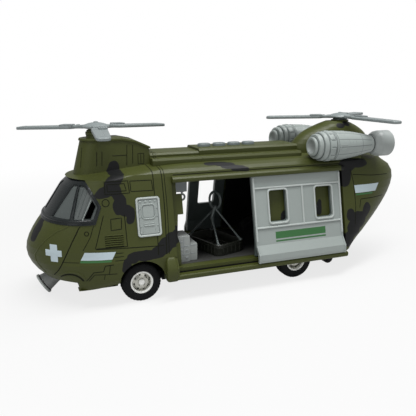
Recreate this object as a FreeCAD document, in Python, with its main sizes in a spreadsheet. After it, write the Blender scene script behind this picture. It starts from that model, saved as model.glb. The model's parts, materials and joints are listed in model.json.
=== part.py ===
import FreeCAD, Part
import math
import os
import re
import Sketcher
from FreeCAD import Placement, Rotation, Vector

# Toy tandem-rotor rescue helicopter.
# Nose toward -X, left side toward -Y, +Z up. The origin is on the floor,
# on the centre plane, midway between the two axles. Millimetres throughout.

SIZES = [
    # hull, described by horizontal outlines: half ellipse, two straight sides, half ellipse
    ("base_z", 14.0, "underside of the hull shells"),
    ("roof_z", 91.5, "flat top of the hull crown"),
    ("crown_z", 84.0, "height where the sides turn into the crown"),
    ("roof_half", 15.0, "half width of the flat top"),
    ("base_half", 38.0, "half width at the underside"),
    ("bilge_z", 19.0, "height where the sides become upright"),
    ("side_half", 42.0, "half width of the upright lower side"),
    ("lean_z", 31.0, "height where the sides start to lean in"),
    ("side_lean", 0.217, "inward lean of the side per mm of height"),
    ("wall", 2.0, "shell wall"),
    ("chin_x", -108.0, "front of the hull at its underside"),
    ("chin_low_z", 22.0, "height of the lower chin point"),
    ("chin_low_x", -125.0, "lower chin point"),
    ("nose_tip_z", 35.0, "height of the foremost point"),
    ("nose_tip_x", -131.0, "foremost point"),
    ("bridge_z", 48.0, "height of a point between the foremost point and the canopy"),
    ("bridge_x", -126.5, "hull front at that point"),
    ("brow_z", 57.0, "lower edge of the canopy"),
    ("brow_x", -120.0, "hull front at the canopy's lower edge"),
    ("canopy_top_x", -102.0, "hull front at the crown height"),
    ("crown_front_x", -40.0, "front of the flat top"),
    ("crown_rise", 1.25, "how slowly the crown rises behind the canopy"),
    ("nose_reach_low", 40.0, "length of the nose curve at the underside"),
    ("nose_reach_tip", 50.0, "length of the nose curve at the foremost point"),
    ("nose_reach_high", 29.0, "length of the nose curve at the canopy"),
    ("tail_start_x", 103.0, "where the tail curve begins"),
    ("tail_low_x", 106.0, "rear of the hull at its underside"),
    ("tail_ramp_x", 133.0, "point on the sloping tail underside"),
    ("tail_ramp_z", 29.0, "height of that point"),
    ("tail_slope_x", 157.0, "upper point on the sloping underside"),
    ("tail_slope_z", 46.0, "height of that point"),
    ("tail_end_x", 171.0, "rearmost point"),
    ("tail_end_z", 69.0, "height of the rearmost point"),
    ("tail_shoulder_x", 157.0, "hull rear at the crown height"),
    ("crown_rear_x", 113.0, "rear of the flat top"),
    # canopy
    ("canopy_side_z", 68.0, "height of the canopy's rear corner"),
    ("canopy_low_rear_x", -89.0, "lower rear corner of the canopy"),
    ("canopy_rear_x", -84.5, "rearmost corner of the canopy"),
    ("canopy_high_rear_x", -92.5, "upper rear corner of the canopy"),
    ("canopy_proud", 0.7, "how far the canopy frame stands proud"),
    ("frame_border", 3.4, "height of the canopy's lower and upper border"),
    ("glass_set", 0.7, "how far the panes lie below the hull surface"),
    ("pane_side", 17.2, "distance of the front panes' inner edges from the centre plane"),
    ("mullion", 3.6, "angle taken by a mullion between side panes, degrees"),
    ("mullion_turn", 53.4, "direction of that mullion, degrees from straight ahead"),
    ("slot_half", 1.8, "half width of the open slot at the middle of the windscreen"),
    ("frame_rear", 2.2, "width of the frame behind the side panes"),
    ("seam_top_x", -98.0, "nose seam at the canopy"),
    ("seam_low_x", -119.0, "nose seam at the underside"),
    # doors, rails and sills
    ("door_length", 74.0, "door length along X"),
    ("door_open_x", 24.0, "front edge of a fully open door"),
    ("door_travel", 59.5, "travel of a door from open to closed"),
    ("far_door_shift", 24.5, "how far forward the right door stands"),
    ("door_low_z", 19.0, "lower edge of the door skirt"),
    ("door_top_z", 81.0, "upper edge of the door"),
    ("door_skin", 1.6, "thickness of the door skin"),
    ("door_panel", 1.8, "thickness of the inner door panel"),
    ("door_proud", 0.6, "how far the door skin stands proud of the side"),
    ("door_gap", 0.4, "running gap round a door"),
    ("skirt_out", 4.6, "bulge of the door skirt"),
    ("skirt_foot", 2.0, "height of the foot below the door skirt's swell"),
    ("skirt_swell", 0.3, "how far the skirt swells past its foot"),
    ("rib_root", 0.5, "how far ribs reach into the door skin"),
    ("skirt_z", 25.0, "height where the skirt reaches its full bulge"),
    ("rib_high", 0.55, "height of the door ribs"),
    ("rib_wide", 1.3, "width of the door ribs"),
    ("door_rib_low_z", 42.7, "lower cross rib"),
    ("door_rib_high_z", 70.9, "upper cross rib"),
    ("door_window_long", 14.4, "door window length"),
    ("door_window_low_z", 46.5, "lower edge of the door windows"),
    ("door_window_high_z", 69.4, "upper edge of the door windows"),
    ("door_window_near", 8.2, "distance of one window from its end of the door"),
    ("door_window_far", 12.4, "distance of the other window from its end"),
    ("door_mid_rib", 40.3, "upright rib, from the end with the larger distance"),
    ("corner", 2.0, "corner radius of windows and panels"),
    ("opening_front_x", -32.0, "front edge of the cabin openings"),
    ("opening_rear_x", 30.0, "rear edge of the cabin openings"),
    ("opening_notch", 4.0, "depth of the notches in the openings' front edge"),
    ("threshold_z", 22.5, "lower edge of the door recess"),
    ("rail_front_x", -36.0, "front end of the door rails"),
    ("rail_rear_x", 101.0, "rear end of rails and sills"),
    ("rail_out", 3.9, "how far a rail stands out"),
    ("rail_lip", 1.2, "how far the rail's lip hangs over the door"),
    ("rail_high", 3.2, "height of a rail above the door"),
    ("sill_low_z", 14.8, "underside of a sill"),
    ("sill_out", 4.8, "how far a sill stands out"),
    ("sill_gap", 0.6, "gap between a sill and the tyres beside it"),
    ("post_front_x", -40.0, "front of the post at a sill's front end"),
    ("post_long", 4.0, "length of that post"),
    ("post_top_z", 29.5, "top of that post"),
    # side hatch panels
    ("hatch_front_x", -62.0, "front edge of a hatch panel"),
    ("hatch_rear_x", -45.3, "rear edge of a hatch panel"),
    ("hatch_low_z", 46.0, "lower edge of a hatch panel"),
    ("hatch_top_z", 72.0, "upper edge of a hatch panel"),
    ("hatch_deep", 1.2, "depth of a hatch panel's seat"),
    ("hatch_proud", 0.7, "how far a hatch panel stands proud"),
    ("seat_gap", 0.15, "gap round seated panels"),
    # roof
    ("pylon_front_x", -97.0, "front of the front pylon at its foot"),
    ("pylon_rear_x", -45.5, "rear of the front pylon"),
    ("pylon_foot_half", 13.0, "half width of the front pylon's foot"),
    ("pylon_top_half", 10.5, "half width of the front pylon's top"),
    ("pylon_top_z", 107.5, "top of the front pylon under its cap"),
    ("pylon_tail_z", 100.8, "top of the front pylon at its rear"),
    ("pylon_slope_x", -64.0, "where the pylon's top starts to slope"),
    ("pylon_rake", 6.0, "rake of the pylon's front"),
    ("cap_thick", 1.5, "thickness of the pylon cap"),
    ("cap_lip", 0.9, "overhang of the pylon cap"),
    ("spine_half", 13.2, "half width of the upper roof spine"),
    ("ridge_half", 20.0, "half width of the lower ridge of the spine"),
    ("ridge_z", 94.8, "top of the lower ridge"),
    ("spine_z", 97.8, "top of the front roof spine"),
    ("panel_z", 99.4, "top of the button panel"),
    ("panel_front_x", -9.0, "front of the button panel"),
    ("panel_rear_x", 72.0, "rear of the button panel"),
    ("panel_wall", 1.5, "wall of the button panel"),
    ("button_long", 10.0, "length of an oval button"),
    ("button_wide", 7.0, "width of an oval button"),
    ("button_rise", 2.2, "rise of a button above its panel"),
    ("button_press", 1.5, "travel of a button"),
    ("button_first_x", -0.3, "centre of the first button"),
    ("button_pitch", 12.1, "spacing of the buttons"),
    ("button_gap", 0.2, "gap round a button"),
    ("flange", 0.8, "width and thickness of a button's flange"),
    ("board_thick", 1.6, "thickness of the switch board"),
    ("switch_high", 1.2, "height of a switch on its board"),
    ("speaker_x", 52.0, "centre of the loudspeaker"),
    ("speaker_radius", 9.5, "radius of the loudspeaker"),
    ("speaker_deep", 5.0, "depth of the loudspeaker"),
    ("hood_front_x", 72.0, "front of the rear hood at the roof"),
    ("hood_rear_x", 149.0, "rear of the rear hood at the roof"),
    ("hood_half", 15.0, "half width of the rear hood at the roof"),
    ("hood_foot_z", 86.0, "level the rear hood starts from, inside the hull"),
    ("hood_top_z", 115.0, "top of the rear hood"),
    ("hood_brow_z", 105.0, "height where the hood's front starts to round over"),
    ("hood_brow_x", 82.0, "hood's front at that height"),
    ("hood_cheek_z", 111.0, "height where the hood's front is nearly level"),
    ("hood_cheek_x", 94.5, "hood's front at that height"),
    ("hood_peak_front_x", 106.0, "front of the hood's flat top"),
    ("hood_peak_rear_x", 124.0, "rear of the hood's flat top"),
    ("hood_back_z", 110.0, "height where the hood's rear is nearly level"),
    ("hood_back_x", 135.0, "hood's rear at that height"),
    ("hood_nape_x", 142.0, "hood's rear at the height of its brow"),
    ("hood_peak_half", 6.0, "half width of the hood's flat top"),
    # rotors
    ("front_hub_x", -79.5, "front rotor axis"),
    ("rear_hub_x", 119.0, "rear rotor axis"),
    ("front_boss", 6.4, "height of the front hub's underside above the pylon cap"),
    ("rear_boss", 2.2, "height of the rear hub's underside above the hood"),
    ("front_phase", 24.0, "direction of the first front blade, degrees"),
    ("rear_phase", 38.0, "direction of the first rear blade, degrees"),
    ("rotor_radius", 60.0, "rotor radius"),
    ("blade_chord", 12.2, "blade width near the hub"),
    ("tip_chord", 9.8, "blade width at the tip"),
    ("blade_root", 18.0, "radius where a blade starts"),
    ("blade_thick", 1.8, "blade thickness"),
    ("front_droop", 2.2, "droop of the front blades, degrees"),
    ("rear_droop", 0.8, "droop of the rear blades, degrees"),
    ("cuff_wide", 9.0, "width of a blade's root"),
    ("cuff_thick", 2.8, "thickness of a blade's root"),
    ("hub_radius", 9.0, "hub radius"),
    ("hub_high", 3.0, "hub height under its dome"),
    ("hub_dome", 2.0, "height of the hub's dome"),
    ("shaft_radius", 2.0, "rotor shaft radius"),
    ("running_gap", 0.08, "radial gap of a shaft in its bearing"),
    ("shaft_foot_radius", 4.0, "radius of the flange that holds a rotor shaft"),
    ("shaft_foot", 1.6, "thickness of that flange"),
    ("end_gap", 0.3, "end play of shafts, axles and rollers"),
    ("overreach", 10.0, "how far a trimming shape reaches past the nose or tail"),
    ("overcut", 1.0, "how far a cut runs past the face it starts from"),
    ("boss_radius", 7.0, "lower step of a rotor boss"),
    ("boss_neck", 4.6, "upper step of a rotor boss"),
    # engine nacelles
    ("nacelle_y", 30.0, "nacelle axis from the centre plane"),
    ("nacelle_z", 99.0, "nacelle axis height"),
    ("intake_front_x", 73.5, "front of a nacelle"),
    ("nacelle_start_x", 90.0, "joint between intake and nacelle body"),
    ("exhaust_start_x", 127.0, "joint between nacelle body and exhaust"),
    ("exhaust_end_x", 143.2, "rear end of an exhaust"),
    ("nacelle_radius", 11.3, "largest nacelle radius"),
    ("nacelle_neck", 6.4, "nacelle radius at the exhaust joint"),
    ("exhaust_radius", 10.0, "exhaust radius"),
    ("intake_bore", 5.1, "radius of the intake hollow"),
    ("intake_deep", 5.5, "depth of the intake's bowl"),
    ("first_ring", 1.9, "first ring's reach past the bore"),
    ("second_ring", 4.2, "second ring's reach past the bore"),
    ("ring_edge", 0.4, "rounding of the intake rings"),
    ("joint_edge", 0.9, "bevel where two nacelle pieces meet"),
    ("bell_deep", 7.0, "depth of the exhaust's bore"),
    ("bell_edge", 0.6, "bevel of the exhaust's rim"),
    ("exhaust_bore", 7.6, "radius of the exhaust hollow"),
    ("saddle_front_x", 80.0, "front of the saddle under a nacelle"),
    ("saddle_rear_x", 122.0, "rear of the saddle under a nacelle"),
    ("saddle_inner", 11.5, "inner face of that saddle from the nacelle's axis"),
    ("saddle_outer", 3.0, "outer face of that saddle from the nacelle's axis"),
    # belly, wheels and axles
    ("wheelbase", 120.0, "distance between the axles"),
    ("wheel_radius", 13.7, "tyre radius"),
    ("wheel_face_y", 38.4, "outer face of a tyre"),
    ("tyre_wide", 11.0, "tyre width"),
    ("rim_radius", 8.4, "radius of the wheel hub"),
    ("rim_lip", 0.6, "how far the rim stands inside the tyre's side"),
    ("tyre_cheek", 1.6, "width of the band on a tyre's side"),
    ("tyre_shoulder", 2.4, "rounding of a tyre's tread edge"),
    ("hub_dish", 2.8, "depth of the hub's dish"),
    ("hub_boss", 3.0, "radius of the hub's boss"),
    ("hub_hole", 0.8, "radius of a vent hole in a hub"),
    ("hub_circle", 5.0, "radius of the circle the vent holes are on"),
    ("hub_hole_count", 6, "vent holes in a hub"),
    ("axle_radius", 1.5, "axle radius"),
    ("arch_gap", 2.8, "gap between tyre and wheel arch"),
    ("well_gap", 1.6, "side gap between tyre and wheel well"),
    ("belly_z", 11.0, "underside of the chassis"),
    ("belly_front_x", -101.0, "front of the chassis"),
    ("belly_rear_x", 104.0, "rear of the chassis"),
    ("belly_half", 31.0, "half width of the chassis underside"),
    ("belly_slope", 4.0, "slope of the chassis ends"),
    ("belly_plate", 1.8, "chassis plate thickness"),
    ("bearing_long", 4.0, "length of an axle bearing"),
    ("floor_low_z", 20.0, "underside of the cabin floor"),
    ("floor_thick", 2.0, "cabin floor thickness"),
    ("bulkhead", 1.8, "cabin bulkhead thickness"),
    ("bulkhead_x", -38.5, "front face of the front cabin bulkhead"),
    ("screw_radius", 1.0, "screw radius"),
    ("screw_head", 2.2, "screw head radius"),
    ("post_radius", 2.6, "radius of a screw post"),
    ("screw_x", 88.0, "screw distance from the middle"),
    ("screw_y", 20.0, "screw distance from the centre plane"),
    ("cell_radius", 5.8, "button cell radius"),
    ("cell_high", 5.4, "button cell height"),
    ("cell_pitch", 12.4, "spacing of the button cells"),
    ("cell_door_margin", 3.0, "battery door margin round the cells"),
    ("roller_x", 102.0, "tail roller axis"),
    ("roller_radius", 4.4, "tail roller radius"),
    ("roller_wide", 5.0, "tail roller width"),
    ("roller_y", 17.0, "tail roller middle from the centre plane"),
    ("roller_lift", 0.3, "height of the tail roller above the floor"),
    ("roller_pin", 1.0, "tail roller pin radius"),
    # searchlight
    ("light_x", -114.0, "middle of the searchlight's root"),
    ("light_z", 13.0, "height of the searchlight's root"),
    ("light_pitch", 33.0, "how far the searchlight points down, degrees"),
    ("light_long", 9.5, "searchlight length"),
    ("light_root", 5.2, "searchlight radius at its root"),
    ("light_rim", 7.4, "searchlight radius at its rim"),
    ("light_lip", 0.8, "step under the searchlight's flange"),
    ("light_flange", 1.4, "thickness of its flange"),
    ("light_set", 1.5, "how far its glass is set in"),
    ("light_root_reach", 4.0, "how far its root reaches into the nose"),
    # cargo
    ("cabinet_front_x", -32.0, "front of the equipment cabinet"),
    ("cabinet_step_x", -23.0, "step of the equipment cabinet"),
    ("cabinet_rear_x", -17.0, "rear of the equipment cabinet"),
    ("cabinet_y", -31.0, "outer face of the equipment cabinet"),
    ("cabinet_deep", 15.0, "depth of the equipment cabinet"),
    ("cabinet_high", 19.0, "height of the equipment cabinet"),
    ("cabinet_low", 12.5, "height of its lower step"),
    ("hoist_x", -21.0, "middle of the hoist housing"),
    ("hoist_long", 11.0, "hoist housing length"),
    ("hoist_wide", 10.0, "hoist housing width"),
    ("hoist_low_z", 67.0, "underside of the hoist housing"),
    ("litter_x", 5.5, "middle of the litter"),
    ("litter_y", -8.0, "middle of the litter"),
    ("litter_turn", 107.0, "direction of the litter, degrees"),
    ("litter_long", 40.0, "litter length"),
    ("litter_wide", 27.0, "litter width"),
    ("litter_high", 8.5, "litter height"),
    ("litter_wall", 1.6, "litter wall"),
    ("litter_corner", 5.0, "corner radius of the litter"),
    ("sling_z", 60.0, "middle of the sling ring"),
    ("sling_ring", 5.8, "radius of the sling ring's centre line"),
    ("sling_tube", 0.9, "radius of the sling's rods"),
]

NAMES = {name for name, value, note in SIZES}

doc = FreeCAD.newDocument("RescueHelicopter")
sheet = doc.addObject("Spreadsheet::Sheet", "Sizes")
nodes = []


def fill_sheet():
    for row, (name, value, note) in enumerate(SIZES, start=1):
        sheet.set("A%d" % row, name)
        sheet.set("B%d" % row, str(value))
        sheet.set("C%d" % row, note)
        sheet.setAlias("B%d" % row, name)
    doc.recompute()


def bound(text):
    """The expression with every size name pointing at the sheet."""
    return re.sub(r"[a-z_]+", lambda m: "Sizes." + m[0] if m[0] in NAMES else m[0], str(text))


def size(name):
    return float(sheet.get(name))


def bind(piece, **sizes):
    for name, text in sizes.items():
        piece.setExpression(name, bound(text))


def place(piece, x="0", y="0", z="0", axis=None, angle="0"):
    if axis:
        piece.Placement = Placement(Vector(), Rotation(Vector(*axis), 1))
        piece.setExpression("Placement.Rotation.Angle", bound(angle))
    for name, text in zip("xyz", (x, y, z)):
        piece.setExpression("Placement.Base." + name, bound(text))
    return piece


def keep(label, piece):
    """Name a finished sub-part."""
    piece.Label = label
    nodes.append(piece)
    return piece


# ---------------------------------------------------------------- building blocks

def block(x0, x1, y0, y1, z0, z1):
    piece = doc.addObject("Part::Box", "Block")
    bind(piece, Length="(%s) - (%s)" % (x1, x0))
    bind(piece, Width="(%s) - (%s)" % (y1, y0))
    bind(piece, Height="(%s) - (%s)" % (z1, z0))
    return place(piece, x0, y0, z0)


TURNS = {"X": ((0, 1, 0), "90"), "Y": ((1, 0, 0), "-90"), "Z": (None, "0")}


def rod(direction, radius, length, x, y, z):
    """A cylinder that starts at a point and runs along X, Y or Z."""
    piece = doc.addObject("Part::Cylinder", "Rod")
    bind(piece, Radius=radius, Height=length)
    axis, angle = TURNS[direction]
    return place(piece, x, y, z, axis, angle)


def cone(direction, radius, end_radius, length, x, y, z):
    piece = doc.addObject("Part::Cone", "Cone")
    bind(piece, Radius1=radius, Radius2=end_radius, Height=length)
    axis, angle = TURNS[direction]
    return place(piece, x, y, z, axis, angle)


def joined(pieces):
    if len(pieces) == 1:
        return pieces[0]
    piece = doc.addObject("Part::MultiFuse", "Join")
    piece.Shapes = pieces
    return piece


def cut(base, *tools):
    piece = doc.addObject("Part::Cut", "Cut")
    piece.Base = base
    piece.Tool = joined(list(tools))
    return piece


def shared(*pieces):
    piece = doc.addObject("Part::MultiCommon", "Shared")
    piece.Shapes = list(pieces)
    return piece


def polygon(sketch, points):
    """A closed polygon whose corners are tied to the sheet."""
    count = len(points)
    for index in range(count):
        start = Vector(index, index * index, 0)
        end = Vector((index + 1) % count, ((index + 1) % count) ** 2, 0)
        sketch.addGeometry(Part.LineSegment(start, end))
    for index in range(count):
        sketch.addConstraint(Sketcher.Constraint("Coincident", index, 2, (index + 1) % count, 1))
    for index, point in enumerate(points):
        for kind, text in zip(("DistanceX", "DistanceY"), point):
            rule = sketch.addConstraint(Sketcher.Constraint(kind, -1, 1, index, 1, 1.0))
            sketch.setExpression("Constraints[%d]" % rule, bound(text))


PLANES = {"XZ": ((1, 0, 0), "90"), "YZ": ((1, 1, 1), "120"), "XY": (None, "0")}


def prism(plane, points, start, length):
    """A polygon in XZ, YZ or XY pushed from start along +Y, +X or +Z."""
    sketch = doc.addObject("Sketcher::SketchObject", "Outline")
    polygon(sketch, points)
    axis, angle = PLANES[plane]
    shift = {"XZ": ("0", start, "0"), "YZ": (start, "0", "0"), "XY": ("0", "0", start)}[plane]
    place(sketch, *shift, axis=axis, angle=angle)
    piece = doc.addObject("Part::Extrusion", "Prism")
    piece.Base = sketch
    piece.DirMode = "Normal"
    piece.Solid = True
    piece.Reversed = plane == "XZ"
    bind(piece, LengthFwd=length)
    return piece


def mirrored(piece):
    """The same piece on the other side of the centre plane."""
    other = doc.addObject("Part::Mirroring", "Mirror")
    other.Source = piece
    other.Normal = Vector(0, 1, 0)
    return other


def rounded(piece, radius, chosen):
    """Round the edges of a piece for which chosen(edge) is true."""
    doc.recompute()
    soft = doc.addObject("Part::Fillet", "Rounded")
    soft.Base = piece
    edges = [n for n, edge in enumerate(piece.Shape.Edges, start=1) if chosen(edge)]
    soft.Edges = [(n, radius, radius) for n in edges]
    return soft


def along(axis):
    """Chooses straight edges that run along an axis."""
    def chosen(edge):
        if not isinstance(edge.Curve, Part.Line):
            return False
        return abs(edge.Curve.Direction.dot(Vector(*axis))) > 0.999
    return chosen


def pane(x0, x1, z0, z1):
    """A cutter with rounded corners that runs right across the hull."""
    sheet_block = block(x0, x1, "-side_half * 2", "side_half * 2", z0, z1)
    return rounded(sheet_block, size("corner"), along((0, 1, 0)))


def turned_body(label, points):
    """A body of revolution about its own Z axis from (radius, height) corners."""
    body = doc.addObject("PartDesign::Body", label)
    planes = {plane.Role: plane for plane in body.Origin.OriginFeatures}
    sketch = body.newObject("Sketcher::SketchObject", label + "Profile")
    sketch.AttachmentSupport = [(planes["XZ_Plane"], "")]
    sketch.MapMode = "FlatFace"
    polygon(sketch, points)
    turn = body.newObject("PartDesign::Revolution", label + "Turn")
    turn.Profile = sketch
    turn.ReferenceAxis = (sketch, ["V_Axis"])
    turn.Angle = 360
    sketch.Visibility = False
    return body


# ---------------------------------------------------------------- hull outlines

def spline_reader(points):
    """x as a smooth function of z through the given (x, z) points."""
    curve = Part.BSplineCurve()
    curve.interpolate([Vector(x, 0, z) for x, z in points])

    def x_at(z):
        low, high = curve.FirstParameter, curve.LastParameter
        for step in range(40):
            middle = (low + high) / 2
            if curve.value(middle).z < z:
                low = middle
            else:
                high = middle
        return curve.value(low).x
    return x_at


def line_reader(points):
    """A value as a piecewise straight function of z."""
    def value_at(z):
        for (z0, value0), (z1, value1) in zip(points, points[1:]):
            if z <= z1:
                share = max(0.0, (z - z0) / (z1 - z0))
                return value0 + share * (value1 - value0)
        return points[-1][1]
    return value_at


def named_points(*pairs):
    return [(size(x), size(z)) for x, z in pairs]


def side_at(z):
    return size("side_half") - (z - size("lean_z")) * size("side_lean")


def crown_share(z):
    """1 at the crown's foot, 0 at the flat top, along a quarter ellipse."""
    rise = (z - size("crown_z")) / (size("roof_z") - size("crown_z"))
    return math.sqrt(max(0.0, 1 - rise * rise))


def half_width(z):
    if z > size("crown_z"):
        span = side_at(size("crown_z")) - size("roof_half")
        return size("roof_half") + span * crown_share(z)
    if z > size("lean_z"):
        return side_at(z)
    lower = [(size("base_z"), size("base_half")), (size("bilge_z"), size("side_half"))]
    return line_reader(lower)(z)


def hull_outline():
    """Functions that give front, rear, half width and nose length at a height."""
    nose = spline_reader(named_points(
        ("chin_x", "base_z"), ("chin_low_x", "chin_low_z"),
        ("nose_tip_x", "nose_tip_z"), ("bridge_x", "bridge_z"), ("brow_x", "brow_z")))
    tail = spline_reader(named_points(
        ("tail_low_x", "base_z"), ("tail_ramp_x", "tail_ramp_z"), ("tail_slope_x", "tail_slope_z"),
        ("tail_end_x", "tail_end_z"), ("tail_shoulder_x", "crown_z")))
    screen = line_reader([(size("brow_z"), size("brow_x")), (size("crown_z"), size("canopy_top_x"))])
    reach = line_reader([
        (size("base_z"), size("nose_reach_low")), (size("nose_tip_z"), size("nose_reach_tip")),
        (size("brow_z"), size("nose_reach_high"))])

    def front(z):
        if z > size("crown_z"):
            rise = (z - size("crown_z")) / (size("roof_z") - size("crown_z"))
            span = size("crown_front_x") - size("canopy_top_x")
            return size("canopy_top_x") + span * rise ** size("crown_rise")
        return screen(z) if z > size("brow_z") else nose(z)

    def rear(z):
        if z > size("crown_z"):
            span = size("tail_shoulder_x") - size("crown_rear_x")
            return size("crown_rear_x") + span * crown_share(z)
        return tail(z)
    return front, rear, half_width, reach


def outline_wire(z, front_x, rear_x, half, front_reach, rear_reach):
    """Half ellipse, straight side, half ellipse, straight side at one height."""
    front_middle = front_x + front_reach
    rear_middle = rear_x - rear_reach

    def half_ellipse(middle, reach, start, end):
        if reach >= half:
            ellipse = Part.Ellipse(Vector(middle + reach, 0, z), Vector(middle, half, z), Vector(middle, 0, z))
            return Part.Arc(ellipse, start, end).toShape()
        ellipse = Part.Ellipse(Vector(middle, half, z), Vector(middle - reach, 0, z), Vector(middle, 0, z))
        return Part.Arc(ellipse, start - math.pi / 2, end - math.pi / 2).toShape()

    nose = half_ellipse(front_middle, front_reach, math.pi / 2, 3 * math.pi / 2)
    tail = half_ellipse(rear_middle, rear_reach, -math.pi / 2, math.pi / 2)
    left = Part.makeLine(Vector(front_middle, -half, z), Vector(rear_middle, -half, z))
    right = Part.makeLine(Vector(rear_middle, half, z), Vector(front_middle, half, z))
    return Part.Wire([nose, left, tail, right])


def steps(low, high, count):
    return [low + (high - low) * n / count for n in range(count)]


def hull_levels():
    """Heights of the outlines, closer together where the hull curves most."""
    low = steps(size("base_z"), size("bilge_z"), 1) + steps(size("bilge_z"), size("lean_z"), 3)
    middle = steps(size("lean_z"), size("brow_z"), 6) + steps(size("brow_z"), size("crown_z"), 5)
    crown = [size("crown_z") + (size("roof_z") - size("crown_z")) * math.sin(math.radians(angle))
             for angle in range(0, 91, 18)]
    return low + middle + crown


def hull(name, inset, low_z, high_z):
    """The hull solid, drawn in by inset all round, between two heights."""
    front, rear, half, reach = hull_outline()
    wires = []
    levels = [z for z in hull_levels() if low_z + 0.3 < z < high_z - 0.3]
    for z in [low_z] + levels + [high_z]:
        near = [min(max(z + shift, size("base_z")), size("roof_z")) for shift in (-inset, 0, inset)]
        front_x = max(front(level) for level in near) + inset
        rear_x = min(rear(level) for level in near) - inset
        side = min(half(level) for level in near) - inset
        front_reach = max(front(near[1]) + reach(near[1]) - front_x, side / 2)
        rear_reach = rear_x - size("tail_start_x") + inset
        wires.append(outline_wire(z, front_x, rear_x, side, front_reach, rear_reach))
    piece = doc.addObject("Part::Feature", name)
    piece.Shape = Part.makeLoft(wires, True, True)
    return piece


def side(z, extra="0"):
    """Expression for the half width of the leaning side at a height."""
    return "side_half - ((%s) - lean_z) * side_lean + (%s)" % (z, extra)


# ---------------------------------------------------------------- hull shells and what they carry

ARCH = "wheel_radius + arch_gap"
WELL_Y = "wheel_face_y - tyre_wide - well_gap"
RECESS = "door_skin - door_proud + door_panel + door_gap"
AXLES = {"front": "-wheelbase / 2", "rear": "wheelbase / 2"}
FAR = "side_half * 2"


def recess_depth():
    return size("door_skin") - size("door_proud") + size("door_panel") + size("door_gap")


def hull_cavity():
    """The room inside the shells: narrower where the doors slide outside."""
    floor_z = size("base_z") + size("wall")
    wide = hull("CavityWide", size("wall"), floor_z, size("roof_z") - size("wall"))
    deep = recess_depth() + size("wall")
    narrow = hull("CavityNarrow", deep, floor_z, size("roof_z") - size("wall"))
    front = block("nose_tip_x - overreach", "post_front_x + wall", "-" + FAR, FAR, "0", "roof_z")
    rear = block("rail_rear_x + wall", "tail_end_x + overreach", "-" + FAR, FAR, "0", "roof_z")
    return joined([narrow, shared(wide, joined([front, rear]))])


def wheel_arches():
    arches = []
    for axle_x in AXLES.values():
        for start in ("-" + FAR, WELL_Y):
            length = FAR + " - (" + WELL_Y + ")"
            arches.append(rod("Y", ARCH, length, axle_x, start, "wheel_radius"))
    return arches


def door_recess():
    """What is taken off the sides where the doors slide."""
    band = block("post_front_x + post_long", "rail_rear_x", "-" + FAR, FAR, "threshold_z", "door_top_z + door_gap")
    core = hull("RecessFace", recess_depth(), size("base_z"), size("roof_z") - size("overcut"))
    return cut(band, core)


def cabin_opening():
    """Straight through both sides, with a notched front edge."""
    front = "opening_front_x"
    notch = "opening_front_x + opening_notch"
    high = "door_top_z - wall"
    floor_z = "floor_low_z + floor_thick"
    points = [
        ("opening_rear_x", floor_z), ("opening_rear_x", high),
        (front, high), (front, "door_rib_high_z"), (notch, "door_rib_high_z"),
        (notch, "door_window_high_z - 12"), (front, "door_window_high_z - 12"),
        (front + " - 1.5", "door_rib_low_z"), (front, "door_rib_low_z - 5"), (front, floor_z)]
    return prism("XZ", points, "-" + FAR, FAR + " * 2")


def hatch_seats():
    """Pockets for the fixed hatch panels."""
    span = rounded(
        block("hatch_front_x", "hatch_rear_x", "-" + FAR, FAR, "hatch_low_z", "hatch_top_z"),
        size("corner") + size("seat_gap"), along((0, 1, 0)))
    core = hull("HatchFace", size("hatch_deep"), size("base_z"), size("roof_z") - size("overcut"))
    return cut(span, core)


def canopy_region():
    """The part of the hull that the canopy takes."""
    front = "nose_tip_x - overreach"
    points = [
        (front, "brow_z"), ("canopy_low_rear_x", "brow_z"), ("canopy_rear_x", "canopy_side_z"),
        ("canopy_high_rear_x", "crown_z"), (front, "crown_z")]
    return prism("XZ", points, "-" + FAR, FAR + " * 2")


def nose_region():
    points = [
        ("nose_tip_x - overreach", "base_z - overcut"), ("seam_low_x", "base_z - overcut"),
        ("seam_top_x", "brow_z"), ("nose_tip_x - overreach", "brow_z")]
    return prism("XZ", points, "-" + FAR, FAR + " * 2")


def belly_opening():
    half = "base_half - wall"
    return block("belly_front_x + wall", "belly_rear_x - wall", "-(" + half + ")", half,
                 "base_z - overcut", "base_z + wall + overcut")


def make_hull(outer, nacelles):
    shell = cut(outer, hull_cavity(), belly_opening(), *wheel_arches())
    canopy = canopy_region()
    nose = nose_region()
    keep("nose_shell", shared(shell, nose))
    body = cut(shell, canopy, nose, door_recess(), cabin_opening(), hatch_seats())
    body = cut(joined([body] + saddles(outer)), *nacelles)
    span = ("nose_tip_x", "tail_end_x + overcut")
    keep("fuselage_left", shared(body, block(*span, "-" + FAR, "0", "0", "hood_top_z")))
    keep("fuselage_right", shared(body, block(*span, "0", FAR, "0", "hood_top_z")))


def saddles(outer):
    """Raised seats that carry the engine nacelles."""
    made = []
    inner, outer_y = "nacelle_y - saddle_inner", "nacelle_y - saddle_outer"
    for y0, y1 in ((inner, outer_y), ("-(%s)" % outer_y, "-(%s)" % inner)):
        raised = block("saddle_front_x", "saddle_rear_x", y0, y1,
                       "crown_z", "nacelle_z - nacelle_radius / 2")
        made.append(cut(raised, outer))
    return made


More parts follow.
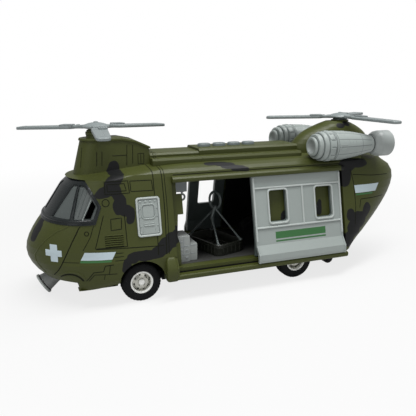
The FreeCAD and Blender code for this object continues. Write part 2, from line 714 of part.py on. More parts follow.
def make_canopy(outer):
    region = canopy_region()
    proud = hull("CanopyOuter", -size("canopy_proud"), size("base_z"), size("roof_z"))
    pane_face = hull("PaneFace", size("glass_set"), size("base_z"), size("roof_z") - size("overcut"))
    inner = hull("CanopyInner", size("wall"), size("base_z") + size("overcut"), size("roof_z") - size("wall"))
    low = "brow_z + frame_border"
    high = "crown_z - frame_border"
    front = "nose_tip_x - overreach"
    border = prism("XZ", [
        (front, low), ("canopy_low_rear_x + 1.4 - frame_rear", low),
        ("canopy_rear_x - frame_rear", "canopy_side_z"),
        ("canopy_high_rear_x + 1.4 - frame_rear", high), (front, high)],
        "-" + FAR, FAR + " * 2")
    middle = block(front, "canopy_rear_x", "-pane_side", "pane_side", low, high)
    panes = []
    for hand in (1, -1):
        panes.append(cut(sector(hand, 0, size("mullion_turn") - size("mullion") / 2), middle))
        panes.append(sector(hand, size("mullion_turn") + size("mullion") / 2, 100))
    windows = shared(joined(panes), border)
    slot = block(front, "canopy_rear_x", "-slot_half", "slot_half", low + " + 2", high)
    side_window = prism("XZ", [
        ("canopy_low_rear_x - 7", low), ("canopy_low_rear_x - 2.5", low),
        ("canopy_rear_x - 3", "canopy_side_z"), ("canopy_rear_x - 5", "canopy_side_z + 4")],
        "-" + FAR, FAR + " * 2")
    frame = cut(shared(proud, region), pane_face)
    keep("canopy_frame", cut(frame, windows, side_window, slot))
    keep("canopy_glass", cut(shared(pane_face, region), inner, side_window, slot))


def sector(hand, start, end):
    """A wedge of the plan view between two directions from the nose's middle."""
    reach = 80
    centre_x = "canopy_high_rear_x + 12"
    points = [(centre_x, "0")]
    for angle in (start, end) if hand > 0 else (end, start):
        turn = math.radians(angle)
        points.append(("%s - %.4f" % (centre_x, reach * math.cos(turn)),
                       "%.4f" % (-hand * reach * math.sin(turn))))
    return prism("XY", points, "brow_z", "crown_z - brow_z")


def make_hatch_panels():
    gap = "seat_gap"
    face = hull("HatchProud", -size("hatch_proud"), size("base_z"), size("roof_z"))
    seat = hull("HatchSeat", size("hatch_deep"), size("base_z"), size("roof_z") - size("overcut"))
    field = hull("HatchField", -size("hatch_proud") / 2, size("base_z"), size("roof_z"))
    outside = rounded(block("hatch_front_x + " + gap, "hatch_rear_x - " + gap, "-" + FAR, FAR,
                            "hatch_low_z + " + gap, "hatch_top_z - " + gap),
                      size("corner"), along((0, 1, 0)))
    sunk = cut(rim_field(), field)
    slab = cut(shared(outside, face), seat, sunk)
    span = ("hatch_front_x", "hatch_rear_x")
    keep("hatch_panel_left", shared(slab, block(*span, "-" + FAR, "0", "hatch_low_z", "hatch_top_z")))
    keep("hatch_panel_right", shared(slab, block(*span, "0", FAR, "hatch_low_z", "hatch_top_z")))


def rim_field():
    return rounded(block("hatch_front_x + rib_wide", "hatch_rear_x - rib_wide", "-" + FAR, FAR,
                         "hatch_low_z + rib_wide", "hatch_top_z - rib_wide"),
                   size("corner") - 0.5, along((0, 1, 0)))


# ---------------------------------------------------------------- doors, rails and sills

def skin_profile():
    """Section of the door skin on the right side: upright, then bulged skirt."""
    top = "door_top_z"
    out = "door_proud"
    inner = "door_proud - door_skin"
    skirt = "side_half + door_proud + skirt_out"
    return [
        (side(top, out), top), (side(top, inner), top),
        (side("lean_z", inner), "lean_z"), (skirt + " - door_skin", "skirt_z - 1"),
        (skirt + " - door_skin + 0.4", "door_low_z"), (skirt, "door_low_z"),
        (skirt + " + skirt_swell", "door_low_z + skirt_foot"), (skirt, "skirt_z"),
        (side("lean_z", out), "lean_z")]


def band_profile():
    """A thin layer over the door skin, as high as the ribs."""
    top = "door_top_z"
    out = "door_proud"
    skirt = "side_half + door_proud + skirt_out"
    rib = "rib_high"
    return [
        (side(top, out + " + " + rib), top), (side(top, out + " - rib_root"), top),
        (side("lean_z", out + " - rib_root"), "lean_z"), (skirt + " - rib_root", "skirt_z"),
        (skirt + " - rib_root", "door_low_z"), (skirt + " + " + rib, "door_low_z"),
        (skirt + " + skirt_swell + " + rib, "door_low_z + skirt_foot"), (skirt + " + " + rib, "skirt_z"),
        (side("lean_z", out + " + " + rib), "lean_z")]


def panel_profile():
    top = "door_top_z"
    outer = "door_proud - door_skin"
    inner = "door_proud - door_skin - door_panel"
    low = "threshold_z + door_gap"
    return [
        (side(top, outer), top), (side(top, inner), top), (side("lean_z", inner), "lean_z"),
        ("side_half + (%s)" % inner, low), ("side_half + (%s)" % outer, low),
        (side("lean_z", outer), "lean_z")]


def door_windows(start, margins):
    first = "%s + %s" % (start, margins[0])
    second = "%s + door_length - %s - door_window_long" % (start, margins[1])
    return [(x0, x0 + " + door_window_long") for x0 in (first, second)]


def make_door(label, start, margins, rib_x):
    """A door on the right side; the left one is then mirrored across."""
    skin = prism("YZ", skin_profile(), start, "door_length")
    panel = prism("YZ", panel_profile(), start, "door_length")
    band = prism("YZ", band_profile(), start, "door_length")
    end = start + " + door_length"
    low, high = "door_rib_low_z", "door_rib_high_z"
    ribs = [
        block(start, start + " + rib_wide", "0", FAR, "door_low_z", "door_top_z"),
        block(end + " - rib_wide", end, "0", FAR, "door_low_z", "door_top_z"),
        block(start, end, "0", FAR, low, low + " + rib_wide"),
        block(start, end, "0", FAR, high, high + " + rib_wide"),
        block("%s - rib_wide / 2" % rib_x, "%s + rib_wide / 2" % rib_x, "0", FAR, low, high)]
    holes = []
    for x0, x1 in door_windows(start, margins):
        z0, z1 = "door_window_low_z", "door_window_high_z"
        ribs.append(pane(x0 + " - rib_wide", x1 + " + rib_wide", z0 + " - rib_wide", z1 + " + rib_wide"))
        holes.append(pane(x0, x1, z0, z1))
    opening = joined(holes)
    finished_skin = cut(joined([skin, shared(band, joined(ribs))]), opening)
    finished_panel = cut(panel, opening)
    for name, piece in (("door_skin_", finished_skin), ("door_panel_", finished_panel)):
        if label == "left":
            piece = mirrored(piece)
        keep(name + label, piece)


def make_doors():
    """Both doors are one moulding, turned end for end on the right side."""
    margins = ("door_window_far", "door_window_near")
    make_door("left", "door_open_x", margins, "(door_open_x + door_mid_rib)")
    far_x = "(door_open_x - far_door_shift)"
    make_door("right", far_x, margins[::-1], "(%s + door_length - door_mid_rib)" % far_x)


def rail_profile():
    """Section of the right rail: a lip over the door and a rounded back."""
    low = "door_top_z + door_gap"
    clear = "door_proud + rib_high + door_gap"
    top = "door_top_z + rail_high"
    return [
        (side(low, "-2"), low), (side(low, clear), low), (side(low, clear), low + " - rail_lip"),
        (side(low, "rail_out - 0.6"), low + " - rail_lip"), (side(low, "rail_out"), low),
        (side(low, "rail_out"), top + " - 1.5"), (side(low, "rail_out - 1.2"), top + " - 0.4"),
        (side(low, "rail_out - 2.6"), top), (side(low, "-2"), top)]


def sill_profile():
    out = "side_half + sill_out"
    inner = "wheel_face_y + sill_gap"
    return [
        (inner, "sill_low_z"), (out + " - 1", "sill_low_z"), (out, "sill_low_z + 1"),
        (out, "door_low_z - door_gap - 0.7"), (out + " - 0.7", "door_low_z - door_gap"),
        (inner, "door_low_z - door_gap")]


def post_profile():
    """Section of the post that meets the front edge of a closed door."""
    out = "side_half + sill_out"
    inner = "wheel_face_y + sill_gap"
    return [
        (inner, "sill_low_z"), (out + " - 1", "sill_low_z"), (out, "sill_low_z + 1"),
        (out, "post_top_z - 6"), (side("post_top_z", "0.4"), "post_top_z"),
        (inner, "post_top_z")]


def make_rails_and_sills(outer):
    end = "post_front_x + post_long"
    trimmed = joined([outer] + arch_tools())
    rail = prism("YZ", rail_profile(), "rail_front_x", "rail_rear_x - rail_front_x")
    sill = prism("YZ", sill_profile(), end + " - 0.5", "rail_rear_x - (%s) + 0.5" % end)
    post = prism("YZ", post_profile(), "post_front_x", "post_long")
    right_rail = cut(rail, outer)
    right_sill = cut(joined([sill, post]), trimmed)
    keep("door_rail_right", right_rail)
    keep("door_rail_left", mirrored(right_rail))
    keep("door_sill_right", right_sill)
    keep("door_sill_left", mirrored(right_sill))


def arch_tools():
    """The front arch cuts the sill's post as well as the shell."""
    return [rod("Y", ARCH, "side_half", "-wheelbase / 2", "0", "wheel_radius")]


# ---------------------------------------------------------------- roof

def pylon_stack(name, grow, low_z, high_z):
    """The pylon as outlines that lean in towards its top."""
    wires = []
    for z in (low_z, high_z):
        share = (z - size("crown_z")) / (size("pylon_top_z") - size("crown_z"))
        half = size("pylon_foot_half") + share * (size("pylon_top_half") - size("pylon_foot_half")) + grow
        front = size("pylon_front_x") + share * size("pylon_rake") - grow
        rear = size("pylon_rear_x") + grow
        reach = half * 1.1
        ellipse = Part.Ellipse(Vector(front, 0, z), Vector(front + reach, half, z), Vector(front + reach, 0, z))
        nose = Part.Arc(ellipse, -math.pi / 2, math.pi / 2).toShape()
        left = Vector(front + reach, -half, z)
        right = Vector(front + reach, half, z)
        rear_left = Vector(rear, -half, z)
        rear_right = Vector(rear, half, z)
        lines = [Part.makeLine(right, rear_right), Part.makeLine(rear_right, rear_left),
                 Part.makeLine(rear_left, left)]
        wires.append(Part.Wire([nose] + lines))
    piece = doc.addObject("Part::Feature", name)
    piece.Shape = Part.makeLoft(wires, True, True)
    return piece


def pylon_roof_line(lift):
    """Side view of everything under the pylon's roof line, raised by lift."""
    far = "pylon_front_x - overreach"
    slope = "pylon_slope_x"
    middle_x = "(pylon_slope_x + pylon_rear_x) / 2"
    middle_z = "(pylon_top_z + pylon_tail_z) / 2 + 1.4 + " + lift
    return [
        (far, "crown_z - overreach"), ("pylon_rear_x + 3", "crown_z - overreach"),
        ("pylon_rear_x + 3", "pylon_tail_z - 0.8 + " + lift), (middle_x, middle_z),
        (slope, "pylon_top_z + " + lift), (far, "pylon_top_z + " + lift)]


HUB_Z = {"front": "(pylon_top_z + cap_thick + front_boss)", "rear": "(hood_top_z + rear_boss)"}


def rotor_boss(x, z0, z1):
    """Stepped round boss under a rotor hub."""
    middle = "(%s + %s) / 2" % (z0, z1)
    lower = rod("Z", "boss_radius", "(%s) - (%s)" % (middle, z0), x, "0", z0)
    upper = rod("Z", "boss_neck", "(%s) - (%s)" % (z1, z0), x, "0", z0)
    return [lower, upper]


def shaft_bore(x, z0, z1):
    return rod("Z", "shaft_radius + running_gap", "(%s) - (%s)" % (z1, z0), x, "0", z0)


def make_front_pylon(outer):
    low, high = size("crown_z") - 6, size("pylon_top_z") + 4
    solid = pylon_stack("PylonOuter", 0.0, low, high)
    room = pylon_stack("PylonInner", -size("wall"), low, high)
    under = prism("XZ", pylon_roof_line("0"), "-side_half", FAR)
    inside = shared(room, under)
    keep("front_pylon", cut(shared(solid, under), inside, outer))
    over = prism("XZ", pylon_roof_line("cap_thick"), "-side_half", FAR)
    lid = shared(pylon_stack("CapOuter", size("cap_lip"), low, high), over)
    boss = rotor_boss("front_hub_x", "pylon_top_z + cap_thick - 0.2", HUB_Z["front"] + " - end_gap")
    bore = shaft_bore("front_hub_x", "pylon_top_z - 5", HUB_Z["front"])
    keep("front_pylon_cap", cut(joined([cut(lid, under)] + boss), bore))


def make_spine(outer, hood):
    """Front roof spine and the hollow button panel behind it."""
    ridge = [
        ("-ridge_half", "crown_z"), ("ridge_half", "crown_z"), ("ridge_half", "ridge_z - 1.5"),
        ("ridge_half - 1.2", "ridge_z"), ("1.2 - ridge_half", "ridge_z"), ("-ridge_half", "ridge_z - 1.5")]

    def upper(top):
        return [
            ("-spine_half", "crown_z"), ("spine_half", "crown_z"), ("spine_half", top + " - 1.4"),
            ("spine_half - 1.4", top), ("1.4 - spine_half", top), ("-spine_half", top + " - 1.4")]

    def run(top, x0, x1):
        length = "(%s) - (%s)" % (x1, x0)
        return joined([prism("YZ", ridge, x0, length), prism("YZ", upper(top), x0, length)])

    keep("roof_spine", cut(run("spine_z", "pylon_rear_x", "panel_front_x"), outer))
    room = block("panel_front_x + panel_wall", "panel_rear_x", "panel_wall - spine_half",
                 "spine_half - panel_wall", "crown_z", "panel_z - panel_wall")
    low, deep = "panel_z - panel_wall - overcut", "panel_wall + 2 * overcut"
    holes = [oval(button_x(n), "button_gap", low, deep) for n in range(4)]
    panel = run("panel_z", "panel_front_x", "panel_rear_x")
    keep("button_panel", cut(panel, outer, hood, room, *holes))


def button_x(n):
    return "(button_first_x + %d * button_pitch)" % n


def oval(x, grow, z, height):
    """An upright oval bar: two rounds and the flat between them."""
    radius = "button_wide / 2 + (%s)" % grow
    offset = "(button_long - button_wide) / 2"
    ends = [rod("Z", radius, height, "%s %s %s" % (x, sign, offset), "0", z) for sign in "+-"]
    middle = block("%s - %s" % (x, offset), "%s + %s" % (x, offset), "-(%s)" % radius, radius,
                   z, "(%s) + (%s)" % (z, height))
    return joined(ends + [middle])


def make_buttons():
    under = "panel_z - panel_wall - end_gap"
    for n in range(4):
        x = button_x(n)
        head = oval(x, "0", under, "button_rise + panel_wall + end_gap")
        flange = oval(x, "flange", under + " - flange", "flange")
        stem = rod("Z", "button_wide / 3", under + " - (%s)" % stem_top(), x, "0", stem_top())
        body = joined([head, flange, stem])
        top = size("panel_z") + size("button_rise")
        top_edges = rounded(body, 0.8, lambda edge: edge.BoundBox.ZMin > top - 0.01)
        keep("sound_button_%d" % (n + 1), top_edges)


def stem_top():
    """Lower end of a button stem, just above its switch."""
    return "roof_z + board_thick + switch_high + button_press + button_gap"


def make_sound_unit():
    board = block("panel_front_x + panel_wall + 1", "speaker_x - speaker_radius - 1", "-8", "8",
                  "roof_z", "roof_z + board_thick")
    switches = [rod("Z", "button_wide / 4", "switch_high", button_x(n), "0", "roof_z + board_thick")
                for n in range(4)]
    keep("switch_board", joined([board] + switches))
    basket = cone("Z", "speaker_radius * 0.55", "speaker_radius", "speaker_deep - 1.5", "speaker_x", "0", "roof_z")
    rim = rod("Z", "speaker_radius", "1.5", "speaker_x", "0", "roof_z + speaker_deep - 1.5")
    keep("loudspeaker", joined([basket, rim]))


def hood_solid():
    """Rounded fairing under the rear rotor, as a stack of outlines."""
    front = spline_reader(named_points(
        ("hood_front_x", "roof_z"), ("hood_brow_x", "hood_brow_z"),
        ("hood_cheek_x", "hood_cheek_z"), ("hood_peak_front_x", "hood_top_z")))
    rear = spline_reader(named_points(
        ("hood_rear_x", "roof_z"), ("hood_nape_x", "hood_brow_z"),
        ("hood_back_x", "hood_back_z"), ("hood_peak_rear_x", "hood_top_z")))
    foot, roof, top = size("hood_foot_z"), size("roof_z"), size("hood_top_z")
    half, peak_half = size("hood_half"), size("hood_peak_half")
    middle = (size("hood_peak_front_x") + size("hood_peak_rear_x")) / 2
    levels = steps(roof, size("hood_brow_z"), 4) + steps(size("hood_brow_z"), top, 5) + [top]
    wires = []
    for z in [foot] + levels:
        share = max(0.0, (z - roof) / (top - roof))
        wide = peak_half + (half - peak_half) * math.sqrt(1 - share * share)
        front_x, rear_x = front(max(z, roof)), rear(max(z, roof))
        wires.append(outline_wire(z, front_x, rear_x, wide, (middle - front_x) * 0.9, (rear_x - middle) * 0.9))
    piece = doc.addObject("Part::Feature", "HoodSolid")
    piece.Shape = Part.makeLoft(wires, True, True)
    return piece


def make_rear_hood(outer, hood, nacelles):
    room = rod("Z", "boss_radius", "hood_top_z - wall * 2 - crown_z", "rear_hub_x", "0", "crown_z")
    boss = rotor_boss("rear_hub_x", "hood_top_z - 0.4", HUB_Z["rear"] + " - end_gap")
    bore = shaft_bore("rear_hub_x", "crown_z", HUB_Z["rear"])
    keep("rear_hood", cut(joined([hood] + boss), outer, room, bore, *nacelles))


# ---------------------------------------------------------------- nacelles

def make_nacelles():
    """Intake, body and exhaust, each turned about the nacelle's axis."""
    intake_long = "nacelle_start_x - intake_front_x"
    full = "nacelle_radius"
    intake = [
        ("0", "intake_deep"), ("intake_bore - 1.2", "5"), ("intake_bore - 0.4", "0.8"),
        ("intake_bore + 0.2", "0"),
        ("intake_bore + first_ring - ring_edge", "0"), ("intake_bore + first_ring", "0.5"),
        ("intake_bore + first_ring", "2"),
        ("intake_bore + first_ring - ring_edge", "2.3"),
        ("intake_bore + second_ring - ring_edge", "2.5"), ("intake_bore + second_ring", "3.2"),
        ("intake_bore + second_ring", "5.6"), ("intake_bore + 3.6", "6"), (full + " - joint_edge", "6.3"),
        (full + " - ring_edge", "7"), (full + " - ring_edge", "9.8"), (full + " - 1.1", "10.2"),
        (full + " - ring_edge", "10.6"),
        (full, "11.2"), (full, intake_long + " - 1"), (full + " - joint_edge", intake_long), ("0", intake_long)]
    body_long = "exhaust_start_x - nacelle_start_x"
    body = [("0", "0"), (full + " - joint_edge", "0"), (full, "0.8")]
    for share in (0.25, 0.5, 0.75, 1.0):
        drop = 1 - math.cos(share * math.pi / 2)
        body.append(("%s - (nacelle_radius - nacelle_neck) * %.4f" % (full, drop),
                     "0.8 + (%s - 0.8) * %.4f" % (body_long, share)))
    body.append(("0", body_long))
    bell_long = "exhaust_end_x - exhaust_start_x"
    bell = [
        ("0", "0"), ("nacelle_neck - joint_edge", "0"), ("nacelle_neck + 1.2", "1"),
        ("exhaust_radius - 1.5", "2.4"),
        ("exhaust_radius - 0.5", "4.2"), ("exhaust_radius", "7"),
        ("exhaust_radius", bell_long + " - bell_edge"),
        ("exhaust_radius - bell_edge", bell_long), ("exhaust_bore + 0.4", bell_long),
        ("exhaust_bore - 1.2", bell_long + " - bell_deep"), ("0", bell_long + " - bell_deep")]
    made = []
    for hand, middle in (("left", "-nacelle_y"), ("right", "nacelle_y")):
        for name, points, x in (("nacelle_intake_", intake, "intake_front_x"),
                                ("nacelle_body_", body, "nacelle_start_x"),
                                ("nacelle_exhaust_", bell, "exhaust_start_x")):
            piece = turned_body(name + hand, points)
            place(piece, x, middle, "nacelle_z", (0, 1, 0), "90")
            made.append(keep(name + hand, piece))
    return made


# ---------------------------------------------------------------- rotors

def blade(x, z, turn, droop):
    """One drooping blade with its thicker root, pointing along a direction."""
    root, tip = "blade_root", "rotor_radius"
    half = "blade_chord / 2"
    tip_half = "tip_chord / 2"
    neck = "cuff_wide / 2"
    plan = [
        (root, "-(%s)" % neck), ("blade_root + 3", "-(%s)" % half), (tip + " - 1", "-(%s)" % tip_half),
        (tip, "1 - (%s)" % tip_half), (tip, tip_half + " - 1"), (tip + " - 1", tip_half),
        ("blade_root + 3", half), (root, neck)]
    panel = prism("XY", plan, "0", "blade_thick")
    cuff = block("hub_radius - 2", "blade_root + 7", "-(%s)" % neck, neck, "0", "cuff_thick")
    whole = joined([panel, cuff])
    tilt = Rotation(Vector(0, 1, 0), size(droop))
    place(whole, x, "0", z)
    whole.Placement.Rotation = Rotation(Vector(0, 0, 1), turn) * tilt
    return whole


def make_rotor(end):
    x, z = end + "_hub_x", HUB_Z[end]
    hub = rod("Z", "hub_radius", "hub_high", x, "0", z)
    crown = cone("Z", "hub_radius - 0.6", "hub_radius * 0.35", "hub_dome", x, "0", "%s + hub_high" % z)
    blades = [blade(x, z, size(end + "_phase") + 120 * n, end + "_droop") for n in range(3)]
    bore = rod("Z", "shaft_radius", "hub_high", x, "0", z + " - overcut")
    keep(end + "_rotor", cut(joined([hub, crown] + blades), bore))
    top = "%s + hub_high - 1" % z
    foot_z = shaft_foot_z(end)
    shaft = rod("Z", "shaft_radius", "(%s) - (%s)" % (top, foot_z), x, "0", foot_z)
    foot = rod("Z", "shaft_foot_radius", "shaft_foot", x, "0", foot_z)
    keep(end + "_rotor_shaft", joined([shaft, foot]))


def shaft_foot_z(end):
    """The shaft's flange hangs just under the wall that carries the boss."""
    ceiling = {"front": "pylon_top_z", "rear": "hood_top_z - wall * 2"}[end]
    return ceiling + " - end_gap - shaft_foot"


# ---------------------------------------------------------------- belly, wheels and cabin

def bearing_blocks(axle_x):
    """Two ribs that carry an axle next to its wheel wells."""
    inner = WELL_Y + " - bearing_long"
    outer = WELL_Y
    made = []
    for y0, y1 in ((inner, outer), ("-(%s)" % outer, "-(%s)" % inner)):
        made.append(block(axle_x + " - 4", axle_x + " + 4", y0, y1, "belly_z + overcut", "floor_low_z - overcut"))
    return made


def screw_places():
    return [(sign_x + "screw_x", sign_y + "screw_y") for sign_x in ("-", "") for sign_y in ("-", "")]


def cell_bay(grow, z0, z1):
    reach = "cell_pitch + cell_radius + " + grow
    half = "cell_radius + " + grow
    return block("-(%s)" % reach, reach, "-(%s)" % half, half, z0, z1)


def make_chassis():
    plate = doc.addObject("Part::Wedge", "BellyPlate")
    place(plate, "0", "0", "base_z", (1, 0, 0), "-90")
    bind(plate, Xmin="belly_front_x", Xmax="belly_rear_x", X2min="belly_front_x + belly_slope",
         X2max="belly_rear_x - belly_slope", Ymin="0", Ymax="base_z - belly_z",
         Zmin="-base_half", Zmax="base_half", Z2min="-belly_half", Z2max="belly_half")
    rim = "(wall + seat_gap)"
    ring = block("belly_front_x + " + rim, "belly_rear_x - " + rim, rim + " - base_half",
                 "base_half - " + rim, "base_z - overcut", "base_z + wall")
    inside = block("belly_front_x + 2 * wall + belly_slope", "belly_rear_x - 2 * wall - belly_slope",
                   "3 * wall - belly_half", "belly_half - 3 * wall", "belly_z + belly_plate",
                   "base_z + wall + overcut")
    tray = cut(joined([plate, ring]), inside)
    ribs = []
    slots = []
    for axle_x in AXLES.values():
        ribs += bearing_blocks(axle_x)
        bore = "axle_radius + running_gap"
        slots.append(rod("Y", bore, FAR, axle_x, "-side_half", "wheel_radius"))
        slots.append(block(axle_x + " - 3", axle_x + " + 3", "bearing_long + 1 - (%s)" % WELL_Y,
                           WELL_Y + " - bearing_long - 1", "wheel_radius - axle_radius - end_gap",
                           "floor_low_z"))
    for end_y in ("-roller_y", "roller_y"):
        slots.append(block("roller_x - roller_radius - 1", "roller_x + roller_radius + 1",
                           end_y + " - roller_wide / 2 - end_gap", end_y + " + roller_wide / 2 + end_gap",
                           "0", "base_z + wall + overcut"))
    ears, ear_bore = roller_ears()
    drills = []
    for x, y in screw_places():
        drills.append(rod("Z", "screw_radius + 0.2", "base_z", x, y, "belly_z - overcut"))
        drills.append(cone("Z", "screw_head + 0.1", "screw_radius + 0.1", "screw_head - screw_radius",
                           x, y, "belly_z"))
    bay = cell_bay("cell_door_margin", "belly_z - overcut", "belly_z + belly_plate + overcut")
    keep("belly_chassis", cut(joined([tray] + ribs + ears), bay, ear_bore, *(wheel_arches() + slots + drills)))


def roller_ears():
    """Ears that hold the tail roller's pin."""
    made = []
    for y in ("-roller_y", "roller_y"):
        for sign in ("-", "+"):
            inner = "%s %s (roller_wide / 2 + end_gap)" % (y, sign)
            start = inner if sign == "+" else inner + " - 2"
            made.append(block("roller_x - 2.2", "roller_x + 1.8", start, start + " + 2",
                              roller_z() + " - 2.2", "base_z"))
    bore = rod("Y", "roller_pin + running_gap", "side_half * 2", "roller_x", "-side_half", roller_z())
    return made, bore


def roller_z():
    return "roller_radius + roller_lift"


def make_tail_roller():
    rolls = [rod("Y", "roller_radius", "roller_wide", "roller_x", y + " - roller_wide / 2", roller_z())
             for y in ("-roller_y", "roller_y")]
    reach = "roller_y + roller_wide / 2 + 2"
    pin = rod("Y", "roller_pin", "2 * (%s)" % reach, "roller_x", "-(%s)" % reach, roller_z())
    keep("tail_roller", joined(rolls + [pin]))


def make_belly_parts():
    bottom = "belly_z"
    cover = cell_bay("cell_door_margin - seat_gap", bottom, bottom + " + belly_plate")
    keep("battery_cover", cover)
    cells = [rod("Z", "cell_radius", "cell_high", x, "0", "belly_z + belly_plate + 0.2")
             for x in ("-cell_pitch", "0", "cell_pitch")]
    keep("button_cells", joined(cells))
    screws = []
    for x, y in screw_places():
        shank = rod("Z", "screw_radius", "floor_low_z - belly_z - 1", x, y, "belly_z")
        head = cone("Z", "screw_head", "screw_radius", "screw_head - screw_radius", x, y, "belly_z")
        slot = block(x + " - screw_head", x + " + screw_head", y + " - 0.3", y + " + 0.3",
                     "belly_z - overcut", "belly_z + 0.5")
        screws.append(cut(joined([shank, head]), slot))
    keep("chassis_screws", joined(screws))


def make_wheels():
    """Two wheel sets: an axle, and at each end a hub inside a tyre."""
    face = "wheel_face_y"
    inner = "(wheel_face_y - tyre_wide)"
    wide = "tyre_wide"
    tyre = [
        ("rim_radius", "rim_lip"), ("wheel_radius - tyre_cheek", "0.2"), ("wheel_radius - 0.5", "1"),
        ("wheel_radius", "tyre_shoulder"), ("wheel_radius", wide + " - tyre_shoulder"),
        ("wheel_radius - 0.5", wide + " - 1"),
        ("wheel_radius - tyre_cheek", wide + " - 0.2"), ("rim_radius", wide + " - rim_lip")]
    rim = [
        ("axle_radius", "1"), ("rim_radius", "rim_lip"), ("rim_radius", wide + " - rim_lip"),
        ("rim_radius - 1.3", wide + " - rim_lip"), ("rim_radius - 1.9", wide + " - hub_dish"),
        ("hub_boss + 0.6", wide + " - hub_dish - 0.6"), ("hub_boss", wide + " - 1.6"),
        ("axle_radius", wide + " - 1.4")]
    for end, x in AXLES.items():
        keep(end + "_axle", rod("Y", "axle_radius", "2 * %s - 3" % face, x, "1.5 - " + face, "wheel_radius"))
        for hand, sign, turn in (("left", "-", "90"), ("right", "", "-90")):
            spot = (x, sign + inner, "wheel_radius")
            outer_ring = turned_body("%s_tyre_%s" % (end, hand), tyre)
            place(outer_ring, *spot, axis=(1, 0, 0), angle=turn)
            keep("%s_tyre_%s" % (end, hand), outer_ring)
            plain = turned_body("%sRim%s" % (end.title(), hand.title()), rim)
            holes = []
            count = int(size("hub_hole_count"))
            for n in range(count):
                turn_n = math.pi * (2 * n + 1) / count
                x_n, y_n = ["hub_circle * %.4f" % value for value in (math.cos(turn_n), math.sin(turn_n))]
                holes.append(rod("Z", "hub_hole", wide, x_n, y_n, "0"))
            disc = cut(plain, *holes)
            place(disc, *spot, axis=(1, 0, 0), angle=turn)
            keep("%s_hub_%s" % (end, hand), disc)


def make_cabin():
    """Cabin floor with end bulkheads, wheel wells and screw posts."""
    inner = "(side_half - (%s) - wall - seat_gap)" % RECESS
    top = "floor_low_z + floor_thick"
    rear_x = "tail_start_x - 4"
    floor = block("bulkhead_x", rear_x, "-" + inner, inner, "floor_low_z", top)
    front = block("bulkhead_x", "bulkhead_x + bulkhead", "-" + inner, inner, "floor_low_z", "roof_z")
    rear = block(rear_x + " - bulkhead", rear_x, "-" + inner, inner, "floor_low_z", "roof_z")
    arch = "%s + bulkhead" % ARCH
    wells = [rod("Y", arch, inner + " - (%s) + 2" % WELL_Y, AXLES["rear"], y, "wheel_radius")
             for y in ("-" + inner, WELL_Y + " - 2")]
    raised = shared(joined(wells), block("0", rear_x, "-" + inner, inner, "floor_low_z", "roof_z"))
    posts = [rod("Z", "post_radius", "floor_low_z - belly_z - belly_plate", "screw_x", y, "belly_z + belly_plate")
             for y in ("-screw_y", "screw_y")]
    bores = [rod("Z", "screw_radius", "floor_low_z - belly_z", x, y, "belly_z") for x, y in screw_places()]
    room = hull("TubRoom", recess_depth() + size("wall") + size("seat_gap"),
                size("base_z") - 4, size("roof_z") - size("wall") - size("seat_gap"))
    tub = shared(joined([floor, front, rear, raised]), room)
    keep("cabin_tub", cut(joined([tub] + posts), *(bores + wheel_arches())))


def make_cargo():
    floor_z = "floor_low_z + floor_thick"
    tall = block("cabinet_front_x", "cabinet_step_x", "cabinet_y", "cabinet_y + cabinet_deep",
                 floor_z, floor_z + " + cabinet_high")
    low = block("cabinet_step_x", "cabinet_rear_x", "cabinet_y + 1", "cabinet_y + cabinet_deep",
                floor_z, floor_z + " + cabinet_low")
    keep("equipment_cabinet", joined([tall, low]))
    hoist = block("hoist_x - hoist_long / 2", "hoist_x + hoist_long / 2", "-hoist_wide / 2", "hoist_wide / 2",
                  "hoist_low_z", "roof_z - wall")
    keep("hoist_housing", rounded(hoist, 1.2, along((0, 0, 1))))
    stem = rod("Z", "1", "3", "hoist_x + 3", "0", "hoist_low_z - 3")
    bow = doc.addObject("Part::Torus", "Bow")
    bind(bow, Radius1="2.4", Radius2="0.9", Angle3="290")
    place(bow, "hoist_x + 3", "0", "hoist_low_z - 5", (1, 0, 0), "90")
    keep("hoist_hook", joined([stem, bow]))
    make_litter(floor_z)


